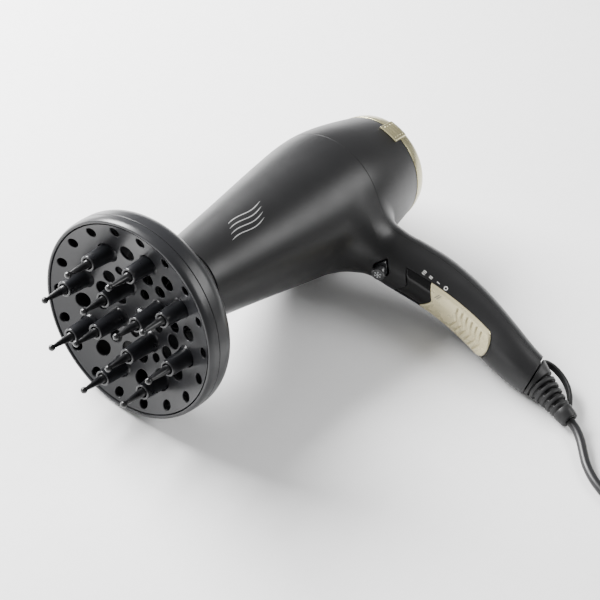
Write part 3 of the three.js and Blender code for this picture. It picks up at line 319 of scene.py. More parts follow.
def bm_from(V, F):
    me = bpy.data.meshes.new("tmp"); me.from_pydata(V.tolist(), [], F.tolist()); bm = bmesh.new(); bm.from_mesh(me); bpy.data.meshes.remove(me)
    return bm
def plane_cut(bm, co, no):
    """keeps the side behind the plane"""
    bmesh.ops.bisect_plane(bm, geom=bm.verts[:] + bm.edges[:] + bm.faces[:], dist=1e-5, plane_co=co, plane_no=no, clear_outer=True)
def cut_outline(bm, poly, d):
    """removes what lies inside a prism through a 3D polygon along d (front side of the polygon within 30 mm)"""
    poly = [Vector(p) for p in poly]; d = Vector(d).normalized(); c = sum(poly, Vector()) / len(poly)
    hlp = Vector((0, 1, 0)) if abs(d.y) < 0.8 else Vector((1, 0, 0)); u = hlp.cross(d).normalized(); w = d.cross(u)
    P2 = [((p - c).dot(u), (p - c).dot(w)) for p in poly]
    u0, u1 = min(p[0] for p in P2) - 3, max(p[0] for p in P2) + 3; w0, w1 = min(p[1] for p in P2) - 3, max(p[1] for p in P2) + 3
    def near():
        out = []
        for f in bm.faces:
            q = f.calc_center_median() - c
            if abs(q.dot(d)) < 16 and u0 < q.dot(u) < u1 and w0 < q.dot(w) < w1:
                out.append(f)
        return out
    for i, p in enumerate(poly):
        q = poly[(i + 1) % len(poly)]; fs = near(); es = {e for f in fs for e in f.edges}; vs = {v for f in fs for v in f.verts}
        bmesh.ops.bisect_plane(bm, geom=list(vs) + list(es) + fs, dist=1e-4, plane_co=p, plane_no=(q - p).cross(d).normalized())
    def inside(x, y):
        r = False; n = len(P2); j = n - 1
        for i in range(n):
            if (P2[i][1] > y) != (P2[j][1] > y) and x < (P2[j][0] - P2[i][0]) * (y - P2[i][1]) / (P2[j][1] - P2[i][1]) + P2[i][0]:
                r = not r
            j = i
        return r
    kill = [f for f in near() if inside((f.calc_center_median() - c).dot(u), (f.calc_center_median() - c).dot(w))]
    bmesh.ops.delete(bm, geom=kill, context="FACES")
def rims(bm, chamfer=0.18, depth=1.7):
    """rolls every open edge inward"""
    es = [e for e in bm.edges if e.is_boundary]
    vs = list({v for e in es for v in e.verts}); ids = {v: i for i, v in enumerate(vs)}
    P = np.array([v.co for v in vs]); G = grad(P); T = np.zeros_like(P)
    for e in es:
        f = e.link_faces[0]; a, b = ids[e.verts[0]], ids[e.verts[1]]
        mid = np.array((e.verts[0].co + e.verts[1].co) / 2); dirn = np.array(e.verts[1].co - e.verts[0].co); L = np.linalg.norm(dirn)
        t = np.cross(dirn, G[a] + G[b]); t /= max(np.linalg.norm(t), 1e-9)
        if t @ (mid - np.array(f.calc_center_median())) < 0: t = -t
        T[a] += t * L; T[b] += t * L
    T /= np.maximum(np.linalg.norm(T, axis=1, keepdims=True), 1e-9)
    key = {tuple(round(c, 4) for c in v.co): i for v, i in ids.items()}
    moved = [(T * chamfer - G * chamfer * 0.4), (T * chamfer * 1.6 - G * chamfer * 1.4), (T * chamfer * 1.7 - G * depth)]
    last = es; prev = np.zeros_like(P); keys = key
    for mv in moved:
        r = bmesh.ops.extrude_edge_only(bm, edges=last); nv = [g for g in r["geom"] if isinstance(g, bmesh.types.BMVert)]; last = [g for g in r["geom"] if isinstance(g, bmesh.types.BMEdge)]
        nk = {}
        for v in nv:
            i = keys.get(tuple(round(c, 4) for c in v.co))
            if i is None: continue
            v.co = Vector(P[i] + mv[i]); nk[tuple(round(c, 4) for c in v.co)] = i
        keys = nk
def skin(bm, name, mt, body, nodes):
    bmesh.ops.recalc_face_normals(bm, faces=bm.faces[:]) if False else None
    me = bpy.data.meshes.new(name); bm.to_mesh(me); bm.free()
    n = len(me.vertices); co = np.empty(n * 3); me.vertices.foreach_get("co", co); co = co.reshape(-1, 3)
    d = np.abs(sdf(co)); G = grad(co)
    nl = len(me.loops); li = np.empty(nl, np.int64); me.loops.foreach_get("vertex_index", li)
    np_ = len(me.polygons); pn = np.empty(np_ * 3); me.polygons.foreach_get("normal", pn); pn = pn.reshape(-1, 3)
    ps = np.empty(np_, np.int64); me.polygons.foreach_get("loop_start", ps); pt = np.empty(np_, np.int64); me.polygons.foreach_get("loop_total", pt)
    lp = np.repeat(np.arange(np_), pt); outer = np.ones(np_, bool); np.logical_and.at(outer, lp, d[li] < 0.03)
    N = np.where(outer[lp][:, None], G[li], pn[lp])
    # rolled edges keep their face normals; faces on the outer surface take the surface normal
    me.vertices.foreach_set("co", row(co).reshape(-1)); me.materials.append(mt)
    me.polygons.foreach_set("use_smooth", [True] * np_)
    me.update()
    me.normals_split_custom_set(rowdir(N).tolist())
    o = bpy.data.objects.new(name, me); bpy.context.scene.collection.objects.link(o)
    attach(o, body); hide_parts(*nodes)
    return o

# outlines cut into the casings
AR, AC = 140.0, (-146.6, -121.0)
def lerp(a, b, t): return a + (b - a) * t
def vee(w, zs, zc, ze, zb):
    top = [[-w, zs], [-w * 0.86, lerp(zs, zc, 0.10)], [-w * 0.5, lerp(zs, zc, 0.52)], [-w * 0.16, lerp(zs, zc, 0.92)], [0, zc], [w * 0.16, lerp(zs, zc, 0.92)], [w * 0.5, lerp(zs, zc, 0.52)], [w * 0.86, lerp(zs, zc, 0.10)], [w, zs]]
    bot = [[w, ze], [w * 0.95, lerp(ze, zb, 0.22)], [w * 0.80, lerp(ze, zb, 0.54)], [w * 0.58, lerp(ze, zb, 0.80)], [w * 0.30, lerp(ze, zb, 0.95)], [0, zb], [-w * 0.30, lerp(ze, zb, 0.95)], [-w * 0.58, lerp(ze, zb, 0.80)], [-w * 0.80, lerp(ze, zb, 0.54)], [-w * 0.95, lerp(ze, zb, 0.22)], [-w, ze]]
    return top + bot
frontX = lambda z: float(np.interp(-z, _gz, _gv[:, 0]))
btnN = np.array([-0.96, 0, -0.28]); btnC = np.array([frontX(-64.2) + 0.1, 0, -64.2])
_w = btnN / np.linalg.norm(btnN); _u = np.cross([0, 1.0, 0], _w); _u /= np.linalg.norm(_u); _q = np.cross(_w, _u)
def onButton(u, w, s): return btnC - _u * u + _q * w + _w * s
def eye(grow):
    o = []
    for s in (1, -1):
        for i in range(13):
            a = math.radians(-38 + 76 * i / 12); o.append([s * (5.1 + grow) * math.cos(a), s * (5.1 + grow) * math.sin(a)])
        o += [[s * 0.9, s * (8.0 + grow * 1.3)], [0, s * (8.4 + grow * 1.35)], [-s * 0.9, s * (8.0 + grow * 1.3)]]
    return o

bm = bm_from(V0, F0)
plane_cut(bm, (-143, 0, 0), (-1, 0, 0)); plane_cut(bm, (53.2, 0, 0), (1, 0, 0))
sn = Vector((15.4, 0, -60)).normalized(); plane_cut(bm, (-30, 0, -190.4), sn)
def unwarp(b, sgn):
    zs = np.array([v.co.z for v in b.verts]); X = splitX(zs)
    for v, x in zip(b.verts, X): v.co.x += sgn * float(x)
unwarp(bm, -1)
bf = bm.copy(); plane_cut(bf, (-0.30, 0, 0), (1, 0, 0)); unwarp(bf, 1)
br = bm.copy(); plane_cut(br, (0.30, 0, 0), (-1, 0, 0)); unwarp(br, 1); bm.free()
cut_outline(bf, [[frontX(-115) - 1, y, z] for y, z in vee(11.3, -76.6, -82.6, -145.6, -153.2)], (1, 0, 0))
cut_outline(bf, [onButton(u, w, 0) for u, w in eye(0.9)], _w)
for z in (-52.0, -162.0):
    xr = float(np.interp(-z, _gz, _gv[:, 1]))
    cut_outline(br, [[xr, 3.3 * math.cos(t), z + 3.3 * math.sin(t)] for t in np.linspace(0, 2 * math.pi, 24, endpoint=False)], (1, 0, 0))
for b in (bf, br):
    for v in b.verts: pass
rims(bf); rims(br)
skin(bf, "front_casing_skin", SHELL, "housing", ["front_casing"])
skin(br, "rear_casing_skin", SHELL, "housing", ["rear_casing"])

# ------------------------------------------------------------------ diffuser
def dishX(r): return -184.0 - 12.0 * (np.asarray(r, float) / 62.2) ** 2
bell = fillet([(-148.0, 26.4), (-148.0, 28.2), (-151, 30.2), (-161.6, 43), (-172.6, 58.6), (-178.2, 64.4), (-182.6, 66.1), (-190.2, 66.3), (-190.2, 64.2), (-183.4, 63.9), (-179.6, 62.2), (-174.2, 56.8), (-163.4, 42.2), (-159.6, 36.8), (-159.6, 26.4)], [.4, .6, 2.5, 3, 6, 5, 3, .35, .2, 1, 3, 3, 3, 1, .4], 8)
b = Bag(); b.put(*spin(bell, 192))
add("diffuser_bell_skin", *b.done(), DIFF, "diffuser_head", ["diffuser_bell"], "diffuser_charcoal", 40)
bez = fillet([(-190.5, 64.3), (-190.5, 66.3), (-195.4, 66.0), (-198.0, 65.0), (-198.0, 63.3), (-195.8, 62.8), (-191.8, 62.6), (-191.8, 64.3)], [.2, .35, 1.6, 1.0, .8, .8, .3, .2], 8)
add("diffuser_bezel_skin", *spin(bez, 192), DIFF, "diffuser_head", ["diffuser_bezel"], "diffuser_charcoal", 40)
b = Bag(); b.put(*spin(fillet([(-161.6, 24.8), (-161.6, 26.0), (-147.6, 26.0), (-147.6, 27.6), (-144.2, 27.6), (-144.2, 24.8)], .4, 3), 128))
for i in range(36):
    t = math.radians(10 * i); b.put(*spin([(-147.2, .45), (-147.0, .6), (-144.8, .6), (-144.6, .45)], 6, 27.5 * math.cos(t), 27.5 * math.sin(t), closed=False))
add("diffuser_sleeve_skin", *b.done(), INNER, "diffuser_fitting", ["diffuser_sleeve"], "inner_black", 40)
add("outlet_collar_skin", *spin(fillet([(-158, 22.7), (-158, 24.0), (-157, 24.4), (-144, 24.4), (-144, 24.8), (-123, 24.8), (-123, 22.7)], .3, 3), 128), INNER, "housing", ["outlet_collar"], "inner_black", 40)

def circle2(y, z, r, n): return [(y + r * math.cos(2 * math.pi * i / n), z + r * math.sin(2 * math.pi * i / n)) for i in range(n)]
def sheet2(loops, holes, step, bounds, inside):
    """triangles of a flat region: loops are closed outlines, holes are (y, z, r)"""
    pts, edges = [], []
    for lp in loops:
        k = len(pts); pts += [tuple(p) for p in lp]; edges += [(k + i, k + (i + 1) % len(lp)) for i in range(len(lp))]
    y0, y1, z0, z1 = bounds; g = []
    rows_ = int((z1 - z0) / (step * 0.866)) + 1
    for j in range(rows_):
        for i in range(int((y1 - y0) / step) + 1):
            g.append((y0 + step * (i + 0.5 * (j % 2)), z0 + step * 0.866 * j))
    g = np.array(g); ok = inside(g)
    for y, z, r in holes: ok &= np.hypot(g[:, 0] - y, g[:, 1] - z) > r + step * 0.35
    pts += [tuple(p) for p in g[ok]]
    r = delaunay_2d_cdt([Vector(p) for p in pts], edges, [], 1, 1e-6)
    V = np.array([tuple(v) for v in r[0]]); F = np.array([list(f) for f in r[2]])
    C = V[F].mean(1); keep = np.ones(len(F), bool)
    for y, z, q in holes: keep &= np.hypot(C[:, 0] - y, C[:, 1] - z) > q * 0.985
    return V, F[keep]

def polar(r, a): return r * math.cos(math.radians(a)), r * math.sin(math.radians(a))
FING = [polar(42.3, 38 + 45 * i) + (42.3,) for i in range(8)] + [polar(18.6, 38 + 90 * i) + (18.6,) for i in range(4)]
HOLES = [polar(57.4, 7 + 20 * i) + (3.15,) for i in range(18)] + [polar(42.3, 60.5 + 45 * i) + (5.0,) for i in range(8)]
HOLES += [polar(28.9, 38 + 22.5 * i) + (4.7 if i % 4 == 2 else 2.8 if i % 4 == 0 else 4.1,) for i in range(16)] + [polar(15.2, 83 + 90 * i) + (3.5,) for i in range(4)] + [(0.0, 0.0, 3.4)]
E = 0.45; FB = 7.0
hl = [(y, z, r + E) for y, z, r in HOLES] + [(y, z, FB) for y, z, _ in FING]
V2, F2 = sheet2([circle2(0, 0, 62.4, 160)] + [circle2(y, z, r, 32) for y, z, r in hl], hl, 2.6, (-62, 62, -62, 62), lambda g: np.hypot(g[:, 0], g[:, 1]) < 61)
b = Bag(); rr = np.hypot(V2[:, 0], V2[:, 1])
b.put(np.stack([dishX(rr) - 1.0, V2[:, 0], V2[:, 1]], 1), F2); b.put(np.stack([dishX(rr) + 1.0, V2[:, 0], V2[:, 1]], 1), F2[:, ::-1])
for y, z, r in HOLES:
    G = []
    for q, d in ((r + E, 0.0), (r + E * .6, .04), (r + E * .25, .18), (r + .04, .40), (r, .7), (r, 1.6), (r + E, 2.0)):
        c = np.array(circle2(y, z, q, 32)); G.append(np.stack([dishX(np.hypot(c[:, 0], c[:, 1])) - 1.0 + d, c[:, 0], c[:, 1]], 1))
    b.grid(np.array(G), cv=True, flip=True)
b.grid(np.array([np.stack([np.full(160, x), *np.array(circle2(0, 0, q, 160)).T], 1) for x, q in ((float(dishX(62.4)) - 1.0, 62.4), (float(dishX(62.4)) + 1.0, 62.4))]), cv=True, flip=True)
b.put(*spin([(-176.4, 1.9), (-176.0, 2.2), (-176.0, 4.3), (-176.3, 4.6), (-183, 4.6)], 40, closed=False))
b.put(*spin([(-184.6, 3.45), (-182.6, 3.4), (-182.6, 1.7), (-176.4, 1.7)], 40, closed=False))
add("diffuser_dish_skin", *b.done(), DIFF, "diffuser_head", ["diffuser_plate"], "diffuser_charcoal", 42)
b = Bag()
for y, z, r0 in FING:
    n = 44; c0 = float(dishX(r0)) - 1.0; base = np.array(circle2(y, z, FB, 32)); base = np.array(circle2(y, z, FB, n))
    G = [np.stack([dishX(np.hypot(base[:, 0], base[:, 1])) - 1.0, base[:, 0], base[:, 1]], 1)]
    for q, x in ((6.35, c0 - .22), (5.98, c0 - .8), (5.86, c0 - 1.8), (5.6, lerp(c0, -208.3, .3)), (5.3, lerp(c0, -208.3, .65)), (5.06, -207.5), (4.98, -207.95), (4.82, -208.2), (4.55, -208.3), (4.05, -208.3), (3.75, -208.2), (3.62, -207.95), (3.6, -207.4), (3.5, -202.2), (3.3, -201.9), (0.4, -201.9)):
        c = np.array(circle2(y, z, q, n)); G.append(np.stack([np.full(n, x), c[:, 0], c[:, 1]], 1))
    b.grid(np.array(G), cv=True, flip=False)
add("finger_sleeves_skin", *b.done(), FINGER, "diffuser_head", [], "diffuser_charcoal", 50)
ball = [(-224.6 - 2.15 * math.sin(t), 2.15 * math.cos(t)) for t in np.linspace(-0.95, math.pi / 2, 14)]
pin = [(-202.1, 0.05), (-202.1, 3.0), (-202.3, 3.2), (-206.0, 3.25), (-206.5, 3.15), (-206.8, 2.9), (-212, 2.35), (-218, 1.72), (-221.4, 1.36), (-222.2, 1.26), (-222.7, 1.22)] + [(x, max(r, 0.02)) for x, r in ball]
for i, (y, z, _) in enumerate(FING):
    add("finger_pin_skin_%02d" % (i + 1), *spin(pin, 36, y, z, closed=False), PIN, "diffuser_head", ["finger_pin_%02d" % (i + 1)], "pin_gloss", 50)
b = Bag(); b.put(*spin([(-184.4, 2.9), (-184.9, 2.85), (-185.4, 2.3), (-185.6, 1.3), (-185.6, 1.15), (-184.9, 1.0), (-184.9, 0.02)], 32, closed=False))
add("diffuser_screw_skin", *b.done(), STEEL, "diffuser_head", ["diffuser_screw"], "steel", 40)
# front guard of the outlet: a ring, two circles and spokes
b = Bag(); b.put(*spin(fillet([(-154, 21.0), (-154, 22.5), (-151, 22.5), (-151, 21.0)], .3, 3), 96))
for r in (6.2, 13.4): b.put(*spin(fillet([(-153.6, r), (-153.6, r + 1.1), (-151.4, r + 1.1), (-151.4, r)], .3, 3), 64))
def bar(b, r0, r1, a, w, x0, x1, bev=.25):
    sec = fillet([(x0, -w), (x1, -w), (x1, w), (x0, w)], bev, 3); c, s = math.cos(a), math.sin(a)
    b.grid(np.array([[[x, r * c - q * s, r * s + q * c] for x, q in sec] for r in (r0, r1)]), cv=True)
for i in range(6): bar(b, 6.8, 21.4, math.radians(60 * i), .5, -153.4, -151.6)
add("outlet_guard_skin", *b.done(), INNER, "housing", ["outlet_guard"], "inner_black", 40)

# ------------------------------------------------------------------ rear cover
barrelR = lambda x: float(np.interp(x, _bx, _br))
rp = fillet([(53.7, 35.4), (53.7, 38.6), (56.6, 38.3), (60.6, 37.3), (62.8, 36.5), (63.2, 35.9), (63.2, 34.2), (57.6, 34.0), (57.6, 34.5), (49.4, 34.5), (49.4, 35.4)], [.3, .4, 2, 2, .8, .3, .4, .3, .2, .2, .2], 6)
b = Bag(); b.put(*spin(rp, 192))
for s in (-1, 1):
    c0 = (180.0 if s < 0 else 0.0) - s * 3; A = np.linspace(-10.5, 10.5, 61); X = np.linspace(45.6, 58.6, 53); G = []
    def tabr(a, x, out=False):
        w = math.radians(abs(a)) * 41; half = math.radians(10.5) * 41
        d = min(half - w, x - 45.6, 58.6 - x); base = max(barrelR(min(x, 53.2)) + .32, 0) if x < 53.7 else 37.0
        e = 1 - max(0.0, 1 - d / 0.9) ** 2; top = lerp(41.75, 41.25, (x - 45.6) / 13)
        h = base + (top - base) * math.sqrt(max(0.0, e)) if d < .9 else top
        if w < 5.2:
            f = min(1.0, (5.2 - w) / .7)
            for xc in (48.0, 50.7, 53.4, 56.1): h += 0.62 * f * max(0.0, math.cos((x - xc) / 0.62 * math.pi / 2)) ** 1.0 if abs(x - xc) < .62 else 0
        return h
    for x in X: G.append([[x, *polar(tabr(a, x), c0 + a)] for a in A])
    b.grid(np.array(G), flip=(True))
    # flanks
    lo = lambda x: (barrelR(min(x, 53.2)) + .3) if x < 53.7 else 37.0
    for a in (A[0], A[-1]): b.grid(np.array([[[x, *polar(tabr(a, x), c0 + a)] for x in X], [[x, *polar(lo(x), c0 + a)] for x in X]]))
    for x in (X[0], X[-1]): b.grid(np.array([[[x, *polar(tabr(a, x), c0 + a)] for a in A], [[x, *polar(lo(x), c0 + a)] for a in A]]))
add("rear_ring_skin", *b.done(), GOLD, "rear_cover", ["rear_cover_ring"], "trim_gold", 38)
# grille: disc with rings of oblong slots
gh = []
b = Bag(); loops = []
def slot_loop(r, a, hw, ha, n=7):
    """slot bent along radius r, half width hw, half angle ha (degrees)"""
    o = []
    for i in range(n): o.append(polar(r + hw, a - ha + 2 * ha * i / (n - 1)))
    e = polar(r, a + ha); t = math.radians(a + ha)
    for i in range(1, 6): p = i / 6 * math.pi; o.append((e[0] + hw * (math.cos(t) * math.cos(p) - math.sin(t) * math.sin(p)), e[1] + hw * (math.sin(t) * math.cos(p) + math.cos(t) * math.sin(p))))
    for i in range(n): o.append(polar(r - hw, a + ha - 2 * ha * i / (n - 1)))
    e = polar(r, a - ha); t = math.radians(a - ha)
    for i in range(1, 6): p = math.pi + i / 6 * math.pi; o.append((e[0] + hw * (math.cos(t) * math.cos(p) - math.sin(t) * math.sin(p)), e[1] + hw * (math.sin(t) * math.cos(p) + math.cos(t) * math.sin(p))))
    return o
slots = []
for r, n in ((8.2, 6), (12.2, 9), (16.2, 12), (20.2, 15), (24.2, 18), (28.2, 21)):
    for i in range(n): slots.append((r, (i + .5 * (n % 2)) * 360 / n, 1.25, 180 / n - math.degrees(2.1 / r)))
LP_ = [slot_loop(*q) for q in slots]
def in_slots(P, pad):
    r = np.hypot(P[:, 0], P[:, 1]); a = np.degrees(np.arctan2(P[:, 1], P[:, 0])); bad = np.zeros(len(P), bool)
    for R, A0_, hw, ha in slots:
        da = (a - A0_ + 180) % 360 - 180; arc = np.radians(np.abs(da)) * R; ex = np.maximum(arc - math.radians(ha) * R, 0)
        bad |= np.hypot(r - R, ex) < hw + pad
    return bad
def domeX(r): return 61.3 - 1.0 * (np.asarray(r, float) / 33.6) ** 2
Vg, Fg = sheet2([circle2(0, 0, 33.5, 128)] + LP_, [], 1.6, (-33, 33, -33, 33), lambda g: (np.hypot(g[:, 0], g[:, 1]) < 32.7) & ~in_slots(g, .45))
Cg = Vg[Fg].mean(1); Fg = Fg[~in_slots(Cg, -0.02)]; rg = np.hypot(Vg[:, 0], Vg[:, 1])
b.put(np.stack([domeX(rg), Vg[:, 0], Vg[:, 1]], 1), Fg); b.put(np.stack([domeX(rg) - 1.6, Vg[:, 0], Vg[:, 1]], 1), Fg[:, ::-1])
for lp in LP_:
    q = np.array(lp); b.grid(np.array([np.stack([domeX(np.hypot(q[:, 0], q[:, 1])) - d, q[:, 0], q[:, 1]], 1) for d in (0, 1.6)]), cv=True)
b.put(*spin(fillet([(58.0, 33.5), (60.4, 33.5), (60.4, 33.8), (58.0, 33.8)], .1, 2), 96))
b.put(*spin([(61.25, 5.2), (61.6, 5.0), (61.75, 4.3), (61.8, 0.02)], 48, closed=False))
add("rear_grille_skin", *b.done(), INNER, "rear_cover", ["rear_grille"], "inner_black", 40)
def weave(nt, bs, mp, bp, ramp):
    w1 = nt.nodes.new("ShaderNodeTexWave"); w1.bands_direction = "Y"; w1.inputs["Scale"].default_value = 0.55
    w2 = nt.nodes.new("ShaderNodeTexWave"); w2.bands_direction = "Z"; w2.inputs["Scale"].default_value = 0.55
    mx = nt.nodes.new("ShaderNodeMath"); mx.operation = "MAXIMUM"
    for w, i in ((w1, 0), (w2, 1)): nt.links.new(mp.outputs[0], w.inputs["Vector"]); nt.links.new(w.outputs["Fac"], mx.inputs[i])
    r = nt.nodes.new("ShaderNodeValToRGB"); r.color_ramp.elements[0].color = (.01, .01, .01, 1); r.color_ramp.elements[1].color = (.5, .5, .5, 1); r.color_ramp.elements[0].position = .45; r.color_ramp.elements[1].position = .7
    nt.links.new(mx.outputs[0], r.inputs["Fac"]); nt.links.new(r.outputs["Color"], bs.inputs["Base Color"]); nt.links.new(mx.outputs[0], bp.inputs["Height"])
    bp.inputs["Distance"].default_value = 0.0003
MESHM = material("filter_mesh", (0.4, 0.4, 0.4), 0.4, 0.8, grain=(2, .6), extra=weave)
b = Bag(); b.put(*spin([(54.4, 0.02), (54.4, 33.4), (54.6, 33.6), (57.0, 33.6), (57.2, 33.4), (57.2, 32.2), (57.0, 32.0), (55.3, 32.0), (55.2, 31.8), (55.2, 0.02)], 96, closed=False))
add("lint_filter_skin", *b.done(), MESHM, "rear_cover", ["lint_filter"], "steel", 40)

# ------------------------------------------------------------------ slider, track plate, button
def drop(y): return 17.5 * (1 - (1 - np.minimum(np.abs(y) / 17.1, .999) ** PW) ** (1 / PW))
def arcP(y, z, o):
    a = np.arcsin((np.asarray(z, float) - AC[1]) / AR); q = AR + drop(y) - o
    return np.stack([AC[0] + q * np.cos(a), y, AC[1] + q * np.sin(a)], -1)
def outline_dist(P, poly):
    Q = np.array(poly, float); d = np.full(len(P), 1e9)
    for i in range(len(Q)):
        a, c = Q[i], Q[(i + 1) % len(Q)]; ab = c - a; t = np.clip(((P - a) @ ab) / (ab @ ab), 0, 1); d = np.minimum(d, np.linalg.norm(P - (a + t[:, None] * ab), axis=1))
    return d
def in_poly(P, poly):
    Q = np.array(poly, float); r = np.zeros(len(P), bool); j = len(Q) - 1
    for i in range(len(Q)):
        c = (Q[i, 1] > P[:, 1]) != (Q[j, 1] > P[:, 1])
        with np.errstate(all="ignore"): xx = (Q[j, 0] - Q[i, 0]) * (P[:, 1] - Q[i, 1]) / (Q[j, 1] - Q[i, 1]) + Q[i, 0]
        r ^= c & (P[:, 0] < xx); j = i
    return r
def densify(poly, step):
    out = []
    for i, p in enumerate(poly):
        q = poly[(i + 1) % len(poly)]; n = max(1, int(math.hypot(q[0] - p[0], q[1] - p[1]) / step))
        out += [(p[0] + (q[0] - p[0]) * k / n, p[1] + (q[1] - p[1]) * k / n) for k in range(n)]
    return out
def panel(name, poly, step, top, bottom, mt, body, nodes, slot):
    poly = densify(poly, step); xs = [p[0] for p in poly]; zs_ = [p[1] for p in poly]
    V, F = sheet2([poly], [], step, (min(xs), max(xs), min(zs_), max(zs_)), lambda g: in_poly(g, poly) & (outline_dist(g, poly) > step * .4))
    C = V[F].mean(1); F = F[in_poly(C, poly)]
    d = outline_dist(V, poly); b = Bag(); b.put(arcP(V[:, 0], V[:, 1], top(V, d)), F[:, ::-1])
    q = np.array(poly); e = top(q, np.zeros(len(q)))
    b.grid(np.array([arcP(q[:, 0], q[:, 1], e), arcP(q[:, 0], q[:, 1], np.full(len(q), bottom))]), cv=True)
    return add(name, *b.done(), mt, body, nodes, slot, 60)
st = 0.34
def round_edge(h, r, d): return h - r + r * np.sqrt(np.clip(1 - np.clip(1 - d / r, 0, 1) ** 2, 0, 1))
def slider_top(P, d):
    h = round_edge(0.95, 1.1, d); y, z = P[:, 0], P[:, 1]
    for i in range(6):
        c = -123.8 - 4.3 * i + 0.6 + np.abs(y) * 0.4; s = (z - c) / 0.95
        fade = np.clip((8.9 - np.abs(y)) / 0.8, 0, 1)
        h = h - 0.85 * fade * np.where(np.abs(s) < 1, 1 - np.abs(s) ** 1.6, 0)
    return h
panel("speed_slider_skin", vee(10.82, -96, -102, -144.4, -151.4), st, slider_top, -1.0, CREAM, "speed_control", ["speed_slider"], "slider_cream")
panel("slider_track_skin", vee(11.15, -76.8, -82.8, -145.4, -153.0), 1.2, lambda P, d: round_edge(-0.55, 0.7, d), -2.7, GLOSS, "housing", ["slider_track"], "gloss_black")
b = Bag(); EY_ = [eye(g) for g in (-0.35, -0.35, -0.42, -0.65)]
b.grid(np.array([[onButton(u, w, s) for u, w in e] for e, s in zip(EY_, (-2.6, 0.3, 0.52, 0.6))]), cv=True)
n0 = b.n; b.put([onButton(u, w, 0.6) for u, w in EY_[3]], [list(range(len(EY_[3])))])
ang = np.linspace(0, 2 * math.pi, 56, endpoint=False)
prof = [(-0.5, 4.85), (4.7, 4.75), (5.1, 4.65), (5.45, 4.35), (5.7, 3.8), (5.86, 2.8), (5.95, 1.6), (6.0, 0.05)]
b.grid(np.array([[onButton(r * math.cos(t), r * math.sin(t), s) for t in ang] for s, r in prof]), cv=True)
add("cool_button_skin", *b.done(), BUTTON, "cool_shot", ["cool_shot_button"], "button_black", 40)
b = Bag()
for k in range(3):
    t = math.radians(60 * k + 15); c, s = math.cos(t), math.sin(t)
    for a0, a1, ww in ((-2.7, 2.7, .24),):
        P = [(a * c - w * s, a * s + w * c) for a, w in ((a0, -ww), (a1, -ww), (a1, ww), (a0, ww))]
        n = 10; G = [[onButton(lerp(P[0][0], P[1][0], i / n), lerp(P[0][1], P[1][1], i / n), 6.03 - .022 * lerp(a0, a1, i / n) ** 2) for i in range(n + 1)], [onButton(lerp(P[3][0], P[2][0], i / n), lerp(P[3][1], P[2][1], i / n), 6.03 - .022 * lerp(a0, a1, i / n) ** 2) for i in range(n + 1)]]
        b.grid(np.array(G))
    for sg in (-1, 1):
        for tip in (1.7,):
            for ds in (-1, 1):
                p0 = np.array([sg * tip * c, sg * tip * s]); dv = np.array([math.cos(t + ds * 0.9) * sg, math.sin(t + ds * 0.9) * sg]); nn = np.array([-dv[1], dv[0]]) * .2
                q = [p0 - nn, p0 + dv * 1.0 - nn, p0 + dv * 1.0 + nn, p0 + nn]; b.put([onButton(x, y, 6.03 - .022 * (x * x + y * y)) for x, y in q], [[0, 1, 2, 3]])
add("cool_mark", *b.done(), PRINT_GREY, "cool_shot", [], None, 40)

# ------------------------------------------------------------------ strain relief and hanging loop
def rA(s, f, n=72):
    c = np.array([2.5 - 0.24 * s, 0, -183.2 - 0.966 * s]); tl = lerp(-0.252, 0.24, min(1, s / 9)); ring = []
    for i in range(n):
        t = 2 * math.pi * i / n; a, bb = f(t) if callable(f) else f
        ring.append([c[0] + a * math.cos(t) * math.cos(tl), bb * math.sin(t), c[2] - a * math.cos(t) * math.sin(tl)])
    return ring
R_ = [rA(-3.0, (.05, .05)), rA(-3.0, (10.5, 9.9)), rA(0.3, (10.6, 10.0))]
for s, a, bb in ((0.45, 12.4, 11.9), (0.5, 12.9, 12.35), (0.9, 13.0, 12.4), (2.0, 12.5, 12.0), (3.4, 11.9, 11.5), (5.2, 11.2, 10.8), (6.3, 10.85, 10.5), (6.8, 10.6, 10.2)): R_.append(rA(s, (a, bb)))
for i in range(5):
    s = 7.0 + i * 4.5; a = 9.9 - i * 0.72; core = 6.5 - i * .3
    def gapf(t, a=a, core=core):
        k = np.clip((abs(math.cos(t)) - .80) / .10, 0, 1); k = k * k * (3 - 2 * k); return (core + (a - .5 - core) * k,) * 2
    for ds in (0.0, 1.75): R_.append(rA(s + ds, gapf))
    for ds, q in ((1.95, a - .35), (2.15, a - .05), (2.5, a), (3.7, a - .18), (4.1, a - .28), (4.3, a - .6)): R_.append(rA(s + ds, (q, q)))
for s, q in ((29.7, 6.1), (30.3, 6.15), (30.6, 6.7), (31.0, 6.9), (34, 6.5), (38.0, 6.05), (38.6, 5.9), (38.95, 5.6), (39.0, 5.2), (39.0, 3.6), (38.7, 3.4), (20, 3.4)): R_.append(rA(s, (q, q)))
b = Bag(); b.grid(np.array(R_), cv=True, flip=True)
add("strain_relief_skin", *b.done(), RUBBER, "housing", ["strain_relief"], "soft_rubber", 45)
LPT = [[17.4, -180.4], [20.0, -182.6], [21.3, -188], [19.8, -196], [16.0, -203], [11.0, -208.2], [6.2, -211.8], [2.2, -214.2]]
path = cat([[x, 0, z] for x, z in LPT], 8); sec = fillet([(-2.3, -1.15), (2.3, -1.15), (2.3, 1.15), (-2.3, 1.15)], .7, 4)
add("hang_loop_skin", *sweep(path, lambda i: sec), RUBBER, "housing", ["hang_loop"], "soft_rubber", 60)

